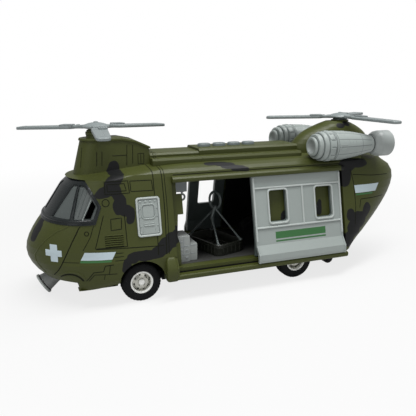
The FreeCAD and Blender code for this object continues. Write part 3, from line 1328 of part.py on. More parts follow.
def make_litter(floor_z):
    """Open basket and the rigid sling that stands on its rim."""
    half_long, half_wide = "litter_long / 2", "litter_wide / 2"
    outside = rounded(block("-" + half_long, half_long, "-" + half_wide, half_wide, "0", "litter_high"),
                      size("litter_corner"), along((0, 0, 1)))
    wall = "litter_wall"
    inside = rounded(block("%s - %s" % (wall, half_long), "%s - %s" % (half_long, wall),
                           "%s - %s" % (wall, half_wide), "%s - %s" % (half_wide, wall),
                           wall, "litter_high + 1"),
                     size("litter_corner") - size("litter_wall"), along((0, 0, 1)))
    basket = cut(outside, inside)
    place(basket, "litter_x", "litter_y", floor_z + " + end_gap / 3", (0, 0, 1), "litter_turn")
    keep("litter_basket", basket)
    ring = doc.addObject("Part::Torus", "SlingRing")
    bind(ring, Radius1="sling_ring", Radius2="sling_tube")
    base_z = "%s + end_gap / 3" % floor_z
    place(ring, "0", "0", "sling_z - (%s)" % base_z, (1, 0, 0), "90")
    floor_top = size("floor_low_z") + size("floor_thick") + size("end_gap") / 3
    eye_z = size("sling_z") - floor_top - size("sling_ring") - size("sling_tube") * 1.5
    legs = []
    reach_x = size("litter_long") / 2 - size("litter_corner") / 2
    reach_y = size("litter_wide") / 2 - size("litter_corner") / 2
    rim_z = size("litter_high") + size("sling_tube") * 0.2
    for hand_x, hand_y in ((1, 1), (1, -1), (-1, 1), (-1, -1)):
        foot = Vector(hand_x * reach_x, hand_y * reach_y, rim_z)
        leg = doc.addObject("Part::Cylinder", "Leg")
        bind(leg, Radius="sling_tube * 0.8")
        leg.Height = (Vector(0, 0, eye_z) - foot).Length
        leg.Placement = Placement(foot, Rotation(Vector(0, 0, 1), Vector(0, 0, eye_z) - foot))
        legs.append(leg)
    knot = doc.addObject("Part::Sphere", "Knot")
    bind(knot, Radius="sling_tube * 1.9")
    place(knot, "0", "0", "sling_z - (%s) - sling_ring - sling_tube * 1.1" % base_z)
    keel = block("-litter_long", "litter_long", "-litter_wide", "litter_wide", "-1", "litter_high")
    sling = cut(joined([ring, knot] + legs), keel)
    place(sling, "litter_x", "litter_y", base_z, (0, 0, 1), "litter_turn")
    keep("litter_sling", sling)


# ---------------------------------------------------------------- searchlight

def make_searchlight(outer):
    long = "light_long"
    housing_points = [
        ("0", "-light_root_reach"), ("light_root", "-light_root_reach"), ("light_root", "0"),
        ("light_rim - light_lip", long + " - light_flange - 0.2"),
        ("light_rim", long + " - light_flange"), ("light_rim", long), ("light_rim - 1", long),
        ("light_rim - light_flange", long + " - light_set"), ("0", long + " - light_set")]
    lens_points = [("0", long + " - light_set"), ("light_rim - light_flange", long + " - light_set"),
                   ("light_rim - 1.6", long + " - 0.7"), ("0", long + " - 0.2")]
    for name, points in (("searchlight_housing", housing_points), ("searchlight_lens", lens_points)):
        piece = turned_body(name.title().replace("_", ""), points)
        place(piece, "light_x", "0", "light_z", (0, 1, 0), "-(90 + light_pitch)")
        keep(name, cut(piece, outer) if name.endswith("housing") else piece)


# ---------------------------------------------------------------- whole model

def check(piece):
    if "Invalid" in piece.State or "Error" in piece.State:
        raise RuntimeError("%s failed: %s" % (piece.Label, piece.State))
    return piece


def write_nodes():
    for piece in doc.Objects:
        check(piece)
    for piece in nodes:
        if piece.Shape.isNull() or not piece.Shape.isValid():
            raise RuntimeError("%s has no valid shape" % piece.Label)
    os.makedirs("parts", exist_ok=True)
    for piece in nodes:
        piece.Shape.exportStep("parts/%s.step" % piece.Label)


def build():
    fill_sheet()
    outer = hull("HullOuter", 0.0, size("base_z"), size("roof_z"))
    hood = hood_solid()
    nacelles = make_nacelles()
    make_hull(outer, nacelles)
    make_canopy(outer)
    make_hatch_panels()
    make_doors()
    make_rails_and_sills(outer)
    make_front_pylon(outer)
    make_spine(outer, hood)
    make_buttons()
    make_sound_unit()
    make_rear_hood(outer, hood, nacelles)
    make_rotor("front")
    make_rotor("rear")
    make_chassis()
    make_tail_roller()
    make_belly_parts()
    make_wheels()
    make_cabin()
    make_cargo()
    make_searchlight(outer)
    doc.recompute()
    write_nodes()


build()
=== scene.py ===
import json
from math import asin, atan2, ceil, copysign, cos, hypot, pi, radians, sin

import bmesh
import bpy
from mathutils import Matrix, Vector
from mathutils.bvhtree import BVHTree


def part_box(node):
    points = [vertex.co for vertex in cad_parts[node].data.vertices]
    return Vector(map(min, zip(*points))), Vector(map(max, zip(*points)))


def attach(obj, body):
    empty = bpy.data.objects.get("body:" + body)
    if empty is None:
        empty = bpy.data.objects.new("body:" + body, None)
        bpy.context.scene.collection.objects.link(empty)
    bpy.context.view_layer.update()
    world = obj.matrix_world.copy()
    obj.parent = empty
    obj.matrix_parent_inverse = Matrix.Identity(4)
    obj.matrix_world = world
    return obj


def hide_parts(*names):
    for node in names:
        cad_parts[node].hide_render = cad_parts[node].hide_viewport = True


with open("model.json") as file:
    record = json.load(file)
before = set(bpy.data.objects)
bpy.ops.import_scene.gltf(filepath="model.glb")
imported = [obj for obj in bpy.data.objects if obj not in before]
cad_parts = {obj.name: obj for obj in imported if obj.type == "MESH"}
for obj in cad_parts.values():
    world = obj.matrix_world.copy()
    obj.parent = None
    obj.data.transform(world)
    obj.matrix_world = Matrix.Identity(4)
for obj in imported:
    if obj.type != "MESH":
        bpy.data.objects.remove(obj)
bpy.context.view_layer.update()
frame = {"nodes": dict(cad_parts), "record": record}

NODES = frame["nodes"]
RECORD = frame["record"]
JOINTS = {joint["name"]: joint for joint in RECORD["behaviour"]["joints"]}
MM = 0.001
SIDES = (("left", -1), ("right", 1))
HANDS = (-1, 1)
RAY_START = 90              # how far outside a centre a ray starts, clear of the toy, in millimetres
WELD = 2e-6                 # points nearer than this are one point, in metres
PRINT_HIGH, PRINT_SINK = 0.06, 0.15    # a print's height over a surface and its depth under it
TREAD_STEPS, TREAD_DEEP = 108, 0.45    # steps round a tyre, every third of them a groove this deep
GLOSSY_SHARE = 0.2          # how much of the white background shows in reflections
WORLD_LEVEL = 0.25          # light from all round, where 1 is plain white
FLOOR_NEAR, FLOOR_FAR = 0.16, 0.6      # the floor fades to plain white between these, in metres
FLOOR_WHITE = 0.78          # how near to plain white the floor is round the toy
PATCH_Y, PATCH_REACH = 32, 31          # a camouflage patch's centre and half width across the toy
PATCH_WOBBLE = 3.4          # how far noise moves the patches' edges, in millimetres


# ---------------- material nodes

def wire(tree, value, socket):
    """Links a socket, or sets a plain value."""
    if isinstance(value, bpy.types.NodeSocket):
        tree.links.new(value, socket)
    else:
        socket.default_value = value


def add_node(tree, kind, *inputs, **settings):
    """A shader node with its settings and its first inputs."""
    made = tree.nodes.new("ShaderNode" + kind)
    for key, value in settings.items():
        setattr(made, key, value)
    for index, value in enumerate(inputs):
        wire(tree, value, made.inputs[index])
    return made


def fresh_tree(owner, output):
    """The emptied node tree of a material or world, and its surface socket."""
    owner.use_nodes = True
    owner.node_tree.nodes.clear()
    return owner.node_tree, add_node(owner.node_tree, output).inputs[0]


class Paint:
    """A node material with one Principled shader, and coordinates in millimetres."""

    def __init__(self, name, **sockets):
        self.material = bpy.data.materials.new(name)
        self.tree, surface_socket = fresh_tree(self.material, "OutputMaterial")
        self.shader = self.node("BsdfPrincipled")
        wire(self.tree, self.shader.outputs[0], surface_socket)
        for socket, value in sockets.items():
            self.shader.inputs[socket.replace("_", " ")].default_value = value
        scaled = self.node("VectorMath", self.node("TexCoord").outputs["Object"], operation="SCALE")
        scaled.inputs["Scale"].default_value = 1 / MM
        self.place = scaled.outputs[0]

    def node(self, kind, *inputs, **settings):
        return add_node(self.tree, kind, *inputs, **settings)

    def maths(self, operation, a, b=0, c=0):
        return self.node("Math", a, b, c, operation=operation).outputs[0]

    def vector(self, operation, *inputs):
        return self.node("VectorMath", *inputs, operation=operation).outputs[0]

    def component(self, vector, axis):
        return self.node("SeparateXYZ", vector).outputs[axis]

    def noise(self, per_mm, detail=2, roughness=0.5):
        made = self.node("TexNoise", self.place)
        made.inputs["Scale"].default_value = per_mm
        made.inputs["Detail"].default_value = detail
        made.inputs["Roughness"].default_value = roughness
        return made.outputs[0]

    def ranged(self, value, low, high, to_low, to_high):
        return self.node("MapRange", value, low, high, to_low, to_high).outputs[0]

    def mixed(self, share, a, b):
        made = self.node("Mix", data_type="RGBA")
        for index, value in ((0, share), (6, a), (7, b)):
            wire(self.tree, value, made.inputs[index])
        return made.outputs[2]

    def finished(self, colour, roughness, height, strength, distance=0.0002):
        """Links colour, roughness and bump to the shader, and gives the material."""
        bump = self.node("Bump", strength, distance)
        wire(self.tree, height, bump.inputs["Height"])
        for socket, value in (("Base Color", colour), ("Roughness", roughness), ("Normal", bump.outputs[0])):
            wire(self.tree, value, self.shader.inputs[socket])
        return self.material


def srgb(red, green, blue):
    """Colour of 0 to 255 values as linear light."""
    def linear(value):
        value /= 255
        return value / 12.92 if value <= 0.04045 else ((value + 0.055) / 1.055) ** 2.4
    return (linear(red), linear(green), linear(blue), 1)


def shade(colour, factor):
    return tuple(value * factor for value in colour[:3]) + (1,)


def moulded(name, colour, rough=0.45, grain=0.05, drift=0.10, **sockets):
    """Moulded plastic: slow colour drift, uneven gloss, fine surface grain."""
    paint = Paint(name, **sockets)
    quick = paint.noise(0.9, 3, 0.6)
    tone = paint.mixed(paint.noise(0.045, 3), shade(colour, 1 - drift), shade(colour, 1 + drift))
    tone = paint.mixed(paint.ranged(quick, 0.35, 0.75, 0, 0.25), tone, shade(colour, 0.86))
    gloss = paint.ranged(quick, 0.2, 0.8, rough - 0.06, rough + 0.08)
    return paint.finished(tone, gloss, paint.noise(3.2, 4, 0.65), grain)


OLIVE = srgb(61, 66, 29)
CHARCOAL = srgb(16, 17, 18)

# Centre, half lengths and turn about Y of each dark patch, in millimetres. A patch reaches across
# the side it is on and fades out toward the centre plane.
LEFT_PATCHES = [
    (-70.4, 90.6, 4.6, 4.6, 0), (-72.6, 86.2, 4.2, 5.6, 0), (-76, 80.2, 5.2, 6, 10),
    (-81.6, 76.6, 6.6, 3.5, -22), (-73.5, 76.4, 3.6, 5.4, 0), (-72, 68.4, 4.3, 7, 22),
    (-69, 64.4, 6.6, 4.2, 20), (-65.6, 60.2, 3, 5.4, 8), (-70.6, 28.6, 3.2, 5.6, 10),
    (-66.4, 33.4, 4.8, 3.8, 0), (-57.5, 34, 9.4, 3.5, 0), (-49, 35, 7, 4.2, -15),
    (-43.6, 38.8, 6.4, 5.2, -35), (-37.6, 42.4, 5.6, 5.6, -30), (-33.4, 45.6, 4.4, 4.6, -20),
    (104.8, 77, 5.2, 9.6, 4), (106.4, 83, 8.2, 5.4, 0), (117, 84.4, 11, 3.6, 3),
    (102.7, 72.3, 3.4, 5.2, 0), (124, 47.4, 4.6, 5.8, 15), (115.3, 41, 7.8, 7, 0),
    (106.9, 45.4, 4.2, 4.6, 0), (109.7, 34.9, 6.8, 7.2, 0), (104.9, 26.9, 5.4, 6.4, 0),
    (50.6, 48.2, 3.2, 4.6, 10), (81, 53, 2.6, 6, 8),
]
RIGHT_PATCHES = [
    (-99, 34, 4.6, 5.6, 10), (-94, 39, 7, 4.6, -20), (-86, 42, 7.6, 4.4, -25),
    (-80, 47.6, 4.6, 6.4, 10), (-78.4, 54.6, 3.8, 5.4, 0), (-72, 88, 4.4, 8, 0),
    (-68, 79.5, 7, 4.8, -20), (-60, 75, 6.2, 5.6, 20), (-57, 67, 3.8, 8, 12), (-45, 34, 5.6, 4.4, 0),
    (-41, 39.5, 4.6, 6.6, 0), (-37.6, 46, 4, 5.6, 10), (84, 40, 7, 4.6, -20), (92, 44, 6.6, 5, -20),
    (98, 51, 4.4, 7, 10), (101, 60, 3.6, 6.6, 0), (112, 70, 8, 4.4, 15), (122, 66, 7.4, 4.8, 20),
    (128, 59, 5, 6.6, -15), (110, 28, 5, 5, 0), (114, 34, 6.2, 5.6, -20), (121, 39, 6, 4.4, -20),
]
# Centre, half lengths in X, Y, Z and turn about X, for patches on the nose, roof and hood.
FREE_PATCHES = [
    (-124, -9.4, 49.6, 12, 5.6, 7.4, -14), (-121, -7.4, 55, 12, 4.2, 4.4, 0),
    (-123, 17, 34, 12, 5, 3.6, 20), (-3, -24, 90.2, 7.4, 2.6, 2.4, 0),
    (2.6, -25, 89.8, 5.6, 3.2, 2.6, 0), (7.2, -27.1, 88.6, 5.6, 3.8, 2.8, 0),
    (13.5, -29.6, 86.5, 5, 2.8, 2.6, 0), (18.5, -29.8, 86.2, 5, 2.6, 2.2, 0), (34, 24, 90, 11, 4, 3, 0),
    (24, 28.5, 87, 7, 3.6, 3, 0), (112.5, -10, 111.6, 3.8, 3.8, 2.2, 0),
    (118.5, -8.6, 112.8, 3.6, 4, 2.2, 0), (98, 8, 112, 6, 5, 5, 0), (139, 4, 104, 5, 8, 4, 0),
    (-56, 6, 108.5, 7, 4, 3, 0), (166, 10, 66, 9, 7, 5, 20), (158, -6, 48, 9, 7, 4, -10),
]


def camouflage(name, rough=0.42, lined=None):
    """Olive plastic with sprayed charcoal patches at fixed places on the hull.

    The hull shells get painted shade on their inward faces, and the chassis is black behind the front
    wheels.
    """
    paint = Paint(name, Specular_IOR_Level=0.23)
    offset = paint.vector("SUBTRACT", paint.noise(0.11).node.outputs[1], (0.5, 0.5, 0.5))
    moved = paint.vector("MULTIPLY_ADD", offset, (PATCH_WOBBLE,) * 3, paint.place)
    balls = [((x, sign * PATCH_Y, z), (long, PATCH_REACH, high), (0, radians(turn), 0))
             for sign, patches in ((-1, LEFT_PATCHES), (1, RIGHT_PATCHES))
             for x, z, long, high, turn in patches]
    balls += [((x, y, z), (long, wide, high), (radians(turn), 0, 0))
              for x, y, z, long, wide, high, turn in FREE_PATCHES]
    nearest = None
    for centre, reach, turn in balls:
        local = paint.node("Mapping", moved, centre, turn, reach, vector_type="TEXTURE").outputs[0]
        distance = paint.node("VectorMath", local, operation="LENGTH").outputs[1]
        nearest = distance if nearest is None else paint.maths("SMOOTH_MIN", nearest, distance, 0.18)
    mask = paint.ranged(nearest, 0.985, 1.015, 1, 0)
    quick = paint.noise(0.8, 3, 0.6)
    green = paint.mixed(paint.noise(0.03, 3), shade(OLIVE, 0.9), shade(OLIVE, 1.12))
    green = paint.mixed(paint.ranged(quick, 0.4, 0.75, 0, 0.22), green, shade(OLIVE, 0.8))
    dark = paint.mixed(quick, shade(CHARCOAL, 0.85), shade(CHARCOAL, 1.2))
    colour = paint.mixed(mask, green, dark)
    if lined == "inside":
        # Painted shade: a face above the sill ledge that looks toward a line along the middle of the toy is
        # painted black.
        ends = paint.vector("MINIMUM", paint.place, (110, 0, 55))
        spine = paint.vector("MAXIMUM", ends, (-90, 0, 55))
        outward = paint.vector("SUBTRACT", paint.place, spine)
        normal = paint.node("NewGeometry").outputs["Normal"]
        facing = paint.node("VectorMath", normal, outward, operation="DOT_PRODUCT").outputs["Value"]
        above = paint.maths("GREATER_THAN", paint.component(paint.place, 2), 23)
        inside = paint.maths("MULTIPLY", paint.maths("LESS_THAN", facing, -4), above)
        colour = paint.mixed(inside, colour, srgb(17, 18, 17))
    if lined == "behind":
        behind = paint.maths("GREATER_THAN", paint.component(paint.place, 0), -75)
        colour = paint.mixed(behind, colour, srgb(21, 21, 22))
    gloss = paint.ranged(quick, 0.2, 0.8, rough - 0.05, rough + 0.07)
    gloss = paint.maths("ADD", gloss, paint.maths("MULTIPLY", mask, 0.1))
    return paint.finished(colour, gloss, paint.noise(2.6, 4, 0.65), 0.05)


def cabin_black(name):
    """Black cabin lining with a dark, slightly dusty floor that has painted light toward the doorways at the
    sides.
    """
    paint = Paint(name)
    dust = paint.noise(0.4, 4, 0.65)
    upward = paint.component(paint.node("NewGeometry").outputs["Normal"], 2)
    wall = paint.mixed(dust, srgb(20, 22, 21), srgb(30, 32, 31))
    # Painted light: the floor grows lighter toward the sides, where light falls in through the doorways;
    # noise adds dust.
    dusty_painted_light = paint.mixed(dust, srgb(44, 45, 43), srgb(62, 62, 59))
    across = paint.maths("ABSOLUTE", paint.component(paint.place, 1))
    deck = paint.mixed(paint.ranged(across, 17, 33, 0, 1), srgb(20, 21, 20), dusty_painted_light)
    colour = paint.mixed(paint.maths("GREATER_THAN", upward, 0.6), wall, deck)
    gloss = paint.ranged(dust, 0.2, 0.8, 0.45, 0.62)
    return paint.finished(colour, gloss, paint.noise(3, 4, 0.65), 0.06)


def rubber(name):
    """Dull black rubber, a little dusty."""
    paint = Paint(name, Specular_IOR_Level=0.15)
    dust = paint.noise(0.5, 4, 0.7)
    colour = paint.mixed(paint.ranged(dust, 0.45, 0.8, 0, 1), srgb(14, 15, 17), srgb(28, 29, 31))
    gloss = paint.ranged(dust, 0.2, 0.8, 0.6, 0.8)
    return paint.finished(colour, gloss, paint.noise(4, 4, 0.7), 0.12, 0.0003)


def brushed(name, colour, rough, metal):
    """Metal or silver paint with fine turning marks."""
    paint = Paint(name, Metallic=metal)
    marks = paint.noise(1.6, 5, 0.7)
    tone = paint.mixed(marks, shade(colour, 0.82), shade(colour, 1.1))
    return paint.finished(tone, paint.ranged(marks, 0.2, 0.8, rough - 0.08, rough + 0.12), marks, 0.04)


PALE = srgb(145, 153, 150)
LOOKS = {
    "camo": camouflage("camo_shell"),
    # camo_hull carries painted shade: black on the shells' inward faces.
    "hull": camouflage("camo_hull", lined="inside"),
    "belly": camouflage("camo_belly", 0.5, "behind"),
    "lip": camouflage("camo_lip", 0.36),
    # The groove looks are darker strips: painted shade within engraved lines and under ribs.
    "groove": moulded("camo_groove_shade", srgb(19, 22, 10), 0.6, Specular_IOR_Level=0.1),
    "slate": moulded("canopy_slate", srgb(22, 27, 28), 0.28, 0.03, Specular_IOR_Level=0.3),
    "pane": moulded("canopy_pane", srgb(76, 82, 81), 0.3, 0.02, Specular_IOR_Level=0.4),
    "pale": moulded("pale_panel", PALE, 0.42, 0.04, 0.04),
    "pale_rib": moulded("pale_rib", srgb(172, 179, 176), 0.4, 0.03, 0.03),
    "pale_groove_shade": moulded("pale_groove_shade", srgb(96, 102, 102), 0.6, 0.04, 0.05),
    "joint": moulded("nacelle_joint", srgb(52, 56, 57), 0.6, 0.04, 0.08),
    "bell": moulded("nacelle_bell", srgb(146, 152, 150), 0.42, 0.04, 0.05),
    "rotor": moulded("rotor_plastic", srgb(121, 129, 129), 0.42, 0.04, 0.06),
    "rotor_dark": moulded("rotor_shadow", srgb(92, 99, 100), 0.5, 0.04, 0.06),
    "button": moulded("button_plastic", srgb(100, 109, 109), 0.36, 0.03, 0.06),
    "inner": cabin_black("cabin_black"),
    "lining": moulded("door_lining", srgb(82, 92, 90), 0.5, 0.05, 0.08),
    "chassis": moulded("chassis_black", srgb(24, 24, 25), 0.55, 0.08, 0.1),
    "tyre": rubber("tyre_rubber"),
    "silver": brushed("wheel_silver", srgb(180, 180, 172), 0.2, 0.95),
    "bright": moulded("wheel_rim", srgb(243, 244, 240), 0.3, 0.02, 0.02, Coat_Weight=0.3),
    "steel": brushed("plain_steel", srgb(170, 170, 172), 0.3, 1),
    "cabinet": moulded("cabinet_grey", srgb(152, 157, 155), 0.45, 0.05, 0.06),
    "hoist": moulded("hoist_grey", srgb(142, 149, 151), 0.42, 0.05, 0.06),
    "litter": moulded("litter_dark", srgb(21, 24, 17), 0.42, 0.05, 0.1),
    "sling": moulded("sling_grey", srgb(76, 84, 83), 0.38, 0.04, 0.1),
    "lamp": moulded("lamp_grey", srgb(140, 143, 142), 0.34, 0.03, 0.06),
    "lens": moulded("lamp_lens", srgb(190, 194, 190), 0.12, 0.02, 0.05,
                    Coat_Weight=0.6, Coat_Roughness=0.05),
    "white": moulded("decal_white", srgb(178, 193, 199), 0.42, 0.03, 0.04),
    "green": moulded("decal_green", srgb(46, 98, 50), 0.42, 0.03, 0.06),
    "board": moulded("board_green", srgb(30, 84, 46), 0.4, 0.04, 0.1),
    # Near black: a black speaker, and painted shade in holes, gaps and the sill groove.
    "dark": moulded("black_and_painted_hollow_shade", srgb(10, 10, 11), 0.6, 0.03, 0.1, Specular_IOR_Level=0.2),
}
SLOT_LOOKS = {
    "camo_shell": "camo", "canopy_frame": "slate", "canopy_pane": "pane", "light_panel": "pale",
    "inner_panel": "lining", "cabin_dark": "inner", "button_grey": "button", "circuit_board": "board",
    "speaker": "dark", "rotor_grey": "rotor", "shaft_steel": "steel", "belly_black": "chassis",
    "cell_steel": "steel", "screw_steel": "steel", "tyre_black": "tyre", "hub_silver": "silver",
    "cabinet_grey": "cabinet", "hoist_grey": "hoist", "litter_dark": "litter", "sling_grey": "sling",
    "light_body": "lamp", "light_lens": "lens",
}
NODE_LOOKS = {
    "fuselage_left": "hull", "fuselage_right": "hull", "nose_shell": "hull", "belly_chassis": "belly",
    "nacelle_exhaust_left": "bell", "nacelle_exhaust_right": "bell",
}


# ---------------- shapes in millimetres

def polar(radius, angle):
    return radius * cos(angle), radius * sin(angle)


def tangents(points, closed):
    """The way a line runs at each of its points, from the points on either side."""
    last = len(points) - 1
    return [points[(k + 1) % len(points) if k < last or closed else k] - points[k - 1 if k or closed else k]
            for k in range(len(points))]


def linked(name, data):
    """A new object in the scene."""
    made = bpy.data.objects.new(name, data)
    bpy.context.scene.collection.objects.link(made)
    return made


class Shape:
    """Collects closed shells, in millimetres in the frame, into one piece."""

    def __init__(self):
        self.verts = []
        self.faces = []

    def add(self, verts, faces, matrix=None):
        start = len(self.verts)
        self.verts += [matrix @ Vector(v) if matrix else Vector(v) for v in verts]
        self.faces += [[start + index for index in face] for face in faces]

    def loft(self, rings, matrix=None, closed=False):
        """Skin through rings of equal count, capped unless the rings close on themselves."""
        count = len(rings[0])
        verts = [point for ring in rings for point in ring]
        faces = []
        for row in range(len(rings) if closed else len(rings) - 1):
            here, there = row * count, (row + 1) % len(rings) * count
            for column in range(count):
                after = (column + 1) % count
                faces.append((here + column, here + after, there + after, there + column))
        if not closed:
            faces.append(tuple(reversed(range(count))))
            faces.append(tuple(range(len(verts) - count, len(verts))))
        self.add(verts, faces, matrix)

    def lathe(self, profile, matrix=None, turns=48):
        """A closed (radius, height) outline turned about local Z."""
        angles = [2 * pi * step / turns for step in range(turns)]
        self.loft([[(*polar(r, angle), h) for r, h in profile] for angle in angles], matrix, closed=True)

    def tube(self, points, radius, sides=10, closed=False):
        """A round bar along points, with one radius or one for each point."""
        points = [Vector(p) for p in points]
        rings = []
        normal = None
        for index, tangent in enumerate(tangents(points, closed)):
            tangent = tangent.normalized()
            if normal is None:
                normal = tangent.orthogonal().normalized()
            normal = (normal - tangent * normal.dot(tangent)).normalized()
            side = tangent.cross(normal)
            wide = radius[index] if isinstance(radius, list) else radius
            rings.append([points[index] + (normal * cos(a) + side * sin(a)) * wide
                          for a in (2 * pi * k / sides for k in range(sides))])
        self.loft(rings, closed=closed)

    def block(self, low, high, matrix=None, soft=0.25):
        """A block with chamfered edges."""
        (x0, y0, z0), (x1, y1, z1) = low, high
        soft = min(soft, (x1 - x0) / 3, (y1 - y0) / 3, (z1 - z0) / 3)
        rings = []
        for z, inset in ((z0, soft), (z0 + soft, 0), (z1 - soft, 0), (z1, soft)):
            a, b, c, d = x0 + inset, x1 - inset, y0 + inset, y1 - inset
            rings.append([(a + soft, c, z), (b - soft, c, z), (b, c + soft, z), (b, d - soft, z),
                          (b - soft, d, z), (a + soft, d, z), (a, d - soft, z), (a, c + soft, z)])
        self.loft(rings, matrix)

    def mesh(self, name):
        made = bpy.data.meshes.new(name)
        made.from_pydata([v * MM for v in self.verts], [], self.faces)
        return made

    def piece(self, name, look, body="airframe", slot="camo_shell", replaces=(), angle=38):
        """One welded, smooth-shaded object that rides on a body; edges sharper than angle stay sharp."""
        mesh = self.mesh(name)
        shell = bmesh.new()
        shell.from_mesh(mesh)
        bmesh.ops.remove_doubles(shell, verts=shell.verts, dist=WELD)
        bmesh.ops.dissolve_degenerate(shell, edges=shell.edges, dist=WELD / 2)
        bmesh.ops.recalc_face_normals(shell, faces=shell.faces)
        shell.to_mesh(mesh)
        shell.free()
        for polygon in mesh.polygons:
            polygon.use_smooth = True
        mesh.set_sharp_from_angle(angle=radians(angle))
        mesh.materials.append(LOOKS[look])
        made = linked(name, mesh)
        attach(made, body)
        if replaces:
            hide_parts(*replaces)


def rounded_outline(half_x, half_y, corner, count=6):
    """A rectangle round the origin with rounded corners."""
    points = []
    for sx, sy, start in ((1, 1, 0), (-1, 1, 90), (-1, -1, 180), (1, -1, 270)):
        for step in range(count + 1):
            x, y = polar(corner, radians(start + 90 * step / count))
            points.append((sx * (half_x - corner) + x, sy * (half_y - corner) + y))
    return points


def box(node):
    """A CAD node's lowest and highest corners, in millimetres."""
    low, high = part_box(node)
    return low / MM, high / MM


def surface(*names):
    """A ray target, in millimetres, from CAD nodes."""
    verts, faces = [], []
    for name in names:
        start = len(verts)
        mesh = NODES[name].data
        verts += [v.co / MM for v in mesh.vertices]
        faces += [[start + index for index in polygon.vertices] for polygon in mesh.polygons]
    return BVHTree.FromPolygons(verts, faces)


def resampled(points, step, closed=False):
    """Points along straight runs, no farther apart than step."""
    points = [Vector(p) for p in points]
    path = []
    for start, end in zip(points, points[1:] + points[:1] if closed else points[1:]):
        count = max(1, ceil((end - start).length / step))
        path += [start.lerp(end, k / count) for k in range(count)]
    return path if closed else path + points[-1:]


def side_ray(x, z, hand):
    """A ray toward the centre plane through a point of the side view, from the left (-1) or right (1)."""
    return Vector((x, hand * RAY_START, z)), Vector((0, -hand, 0))


def inward(centre, away, start=RAY_START):
    """A ray toward a centre, from the side that away points to."""
    return centre + away * start, -away


def cast(target, origin, direction):
    """Where a ray meets a surface, with the normal there toward the ray's start, or None."""
    place, normal, _, _ = target.ray_cast(origin, direction)
    if place is None:
        return None
    return place, -normal if normal.dot(direction) > 0 else normal


def bead(shape, target, rays, width=0.56, high=0.12, sink=0.25, closed=False):
    """A low bead along a surface, where the rays meet it."""
    hits = [hit for hit in (cast(target, *ray) for ray in rays) if hit]
    if len(hits) < 2:
        return
    section = ((-1, -sink), (-0.96, high * 0.4), (-0.62, high * 0.85), (0, high),
               (0.62, high * 0.85), (0.96, high * 0.4), (1, -sink))
    rings = []
    for (place, normal), along in zip(hits, tangents([place for place, normal in hits], closed)):
        side = along.cross(normal).normalized()
        rings.append([place + side * s * width / 2 + normal * n for s, n in section])
    shape.loft(rings, closed=closed)


def side_line(shape, target, points, hands=HANDS, step=1.6, closed=False, **sizes):
    """A bead along a line that is drawn in the side view, as (x, z) points."""
    for hand in hands:
        path = resampled([(x, z, 0) for x, z in points], step, closed)
        bead(shape, target, [side_ray(p.x, p.y, hand) for p in path], closed=closed, **sizes)


def arc(centre, radius, start, end, count=20):
    """Points of a round line between two angles in degrees."""
    spokes = [polar(radius, radians(start + (end - start) * k / count)) for k in range(count + 1)]
    return [(centre[0] + x, centre[1] + z) for x, z in spokes]


def patch(shape, target, corners, hand, across=14, up=5):
    """A thin four-cornered print that follows a side surface; corners run round as (x, z)."""
    a, b, c, d = [Vector(corner) for corner in corners]
    grid = []
    for row in range(up + 1):
        for column in range(across + 1):
            u, v = column / across, row / up
            x, z = a.lerp(b, u).lerp(d.lerp(c, u), v)
            grid.append(cast(target, *side_ray(x, z, hand)))
    count, wide = len(grid), across + 1
    verts = [p + n * PRINT_HIGH for p, n in grid] + [p - n * PRINT_SINK for p, n in grid]
    faces = []
    for row in range(up):
        for column in range(across):
            k = row * wide + column
            quad = (k, k + 1, k + wide + 1, k + wide)
            faces += [quad, [count + i for i in reversed(quad)]]
    rim = ([c for c in range(across)] + [across + r * wide for r in range(up)]
           + [up * wide + c for c in range(across, 0, -1)] + [r * wide for r in range(up, 0, -1)])
    faces += [(i, j, count + j, count + i) for i, j in zip(rim, rim[1:] + rim[:1])]
    shape.add(verts, faces)


# ---------------- CAD nodes: finishes and softened edges

def soften(name, width):
    """Rounds the sharp edges of a CAD node."""
    node = NODES[name]
    weld = node.modifiers.new("Weld", "WELD")
    weld.merge_threshold = WELD
    edge = node.modifiers.new("Edges", "BEVEL")
    edge.width = width * MM
    edge.segments = 2
    edge.limit_method = "ANGLE"
    edge.angle_limit = radians(40)
    edge.use_clamp_overlap = True
    edge.harden_normals = True


for entry in RECORD["subparts"]:
    node = NODES[entry["node"]]
    material = LOOKS[NODE_LOOKS.get(entry["node"], SLOT_LOOKS[entry["material_slot"]])]
    node.data.materials.clear()
    node.data.materials.append(material)

HULL = surface("fuselage_left", "fuselage_right", "nose_shell")


# ---------------- hull lines, louvres and prints

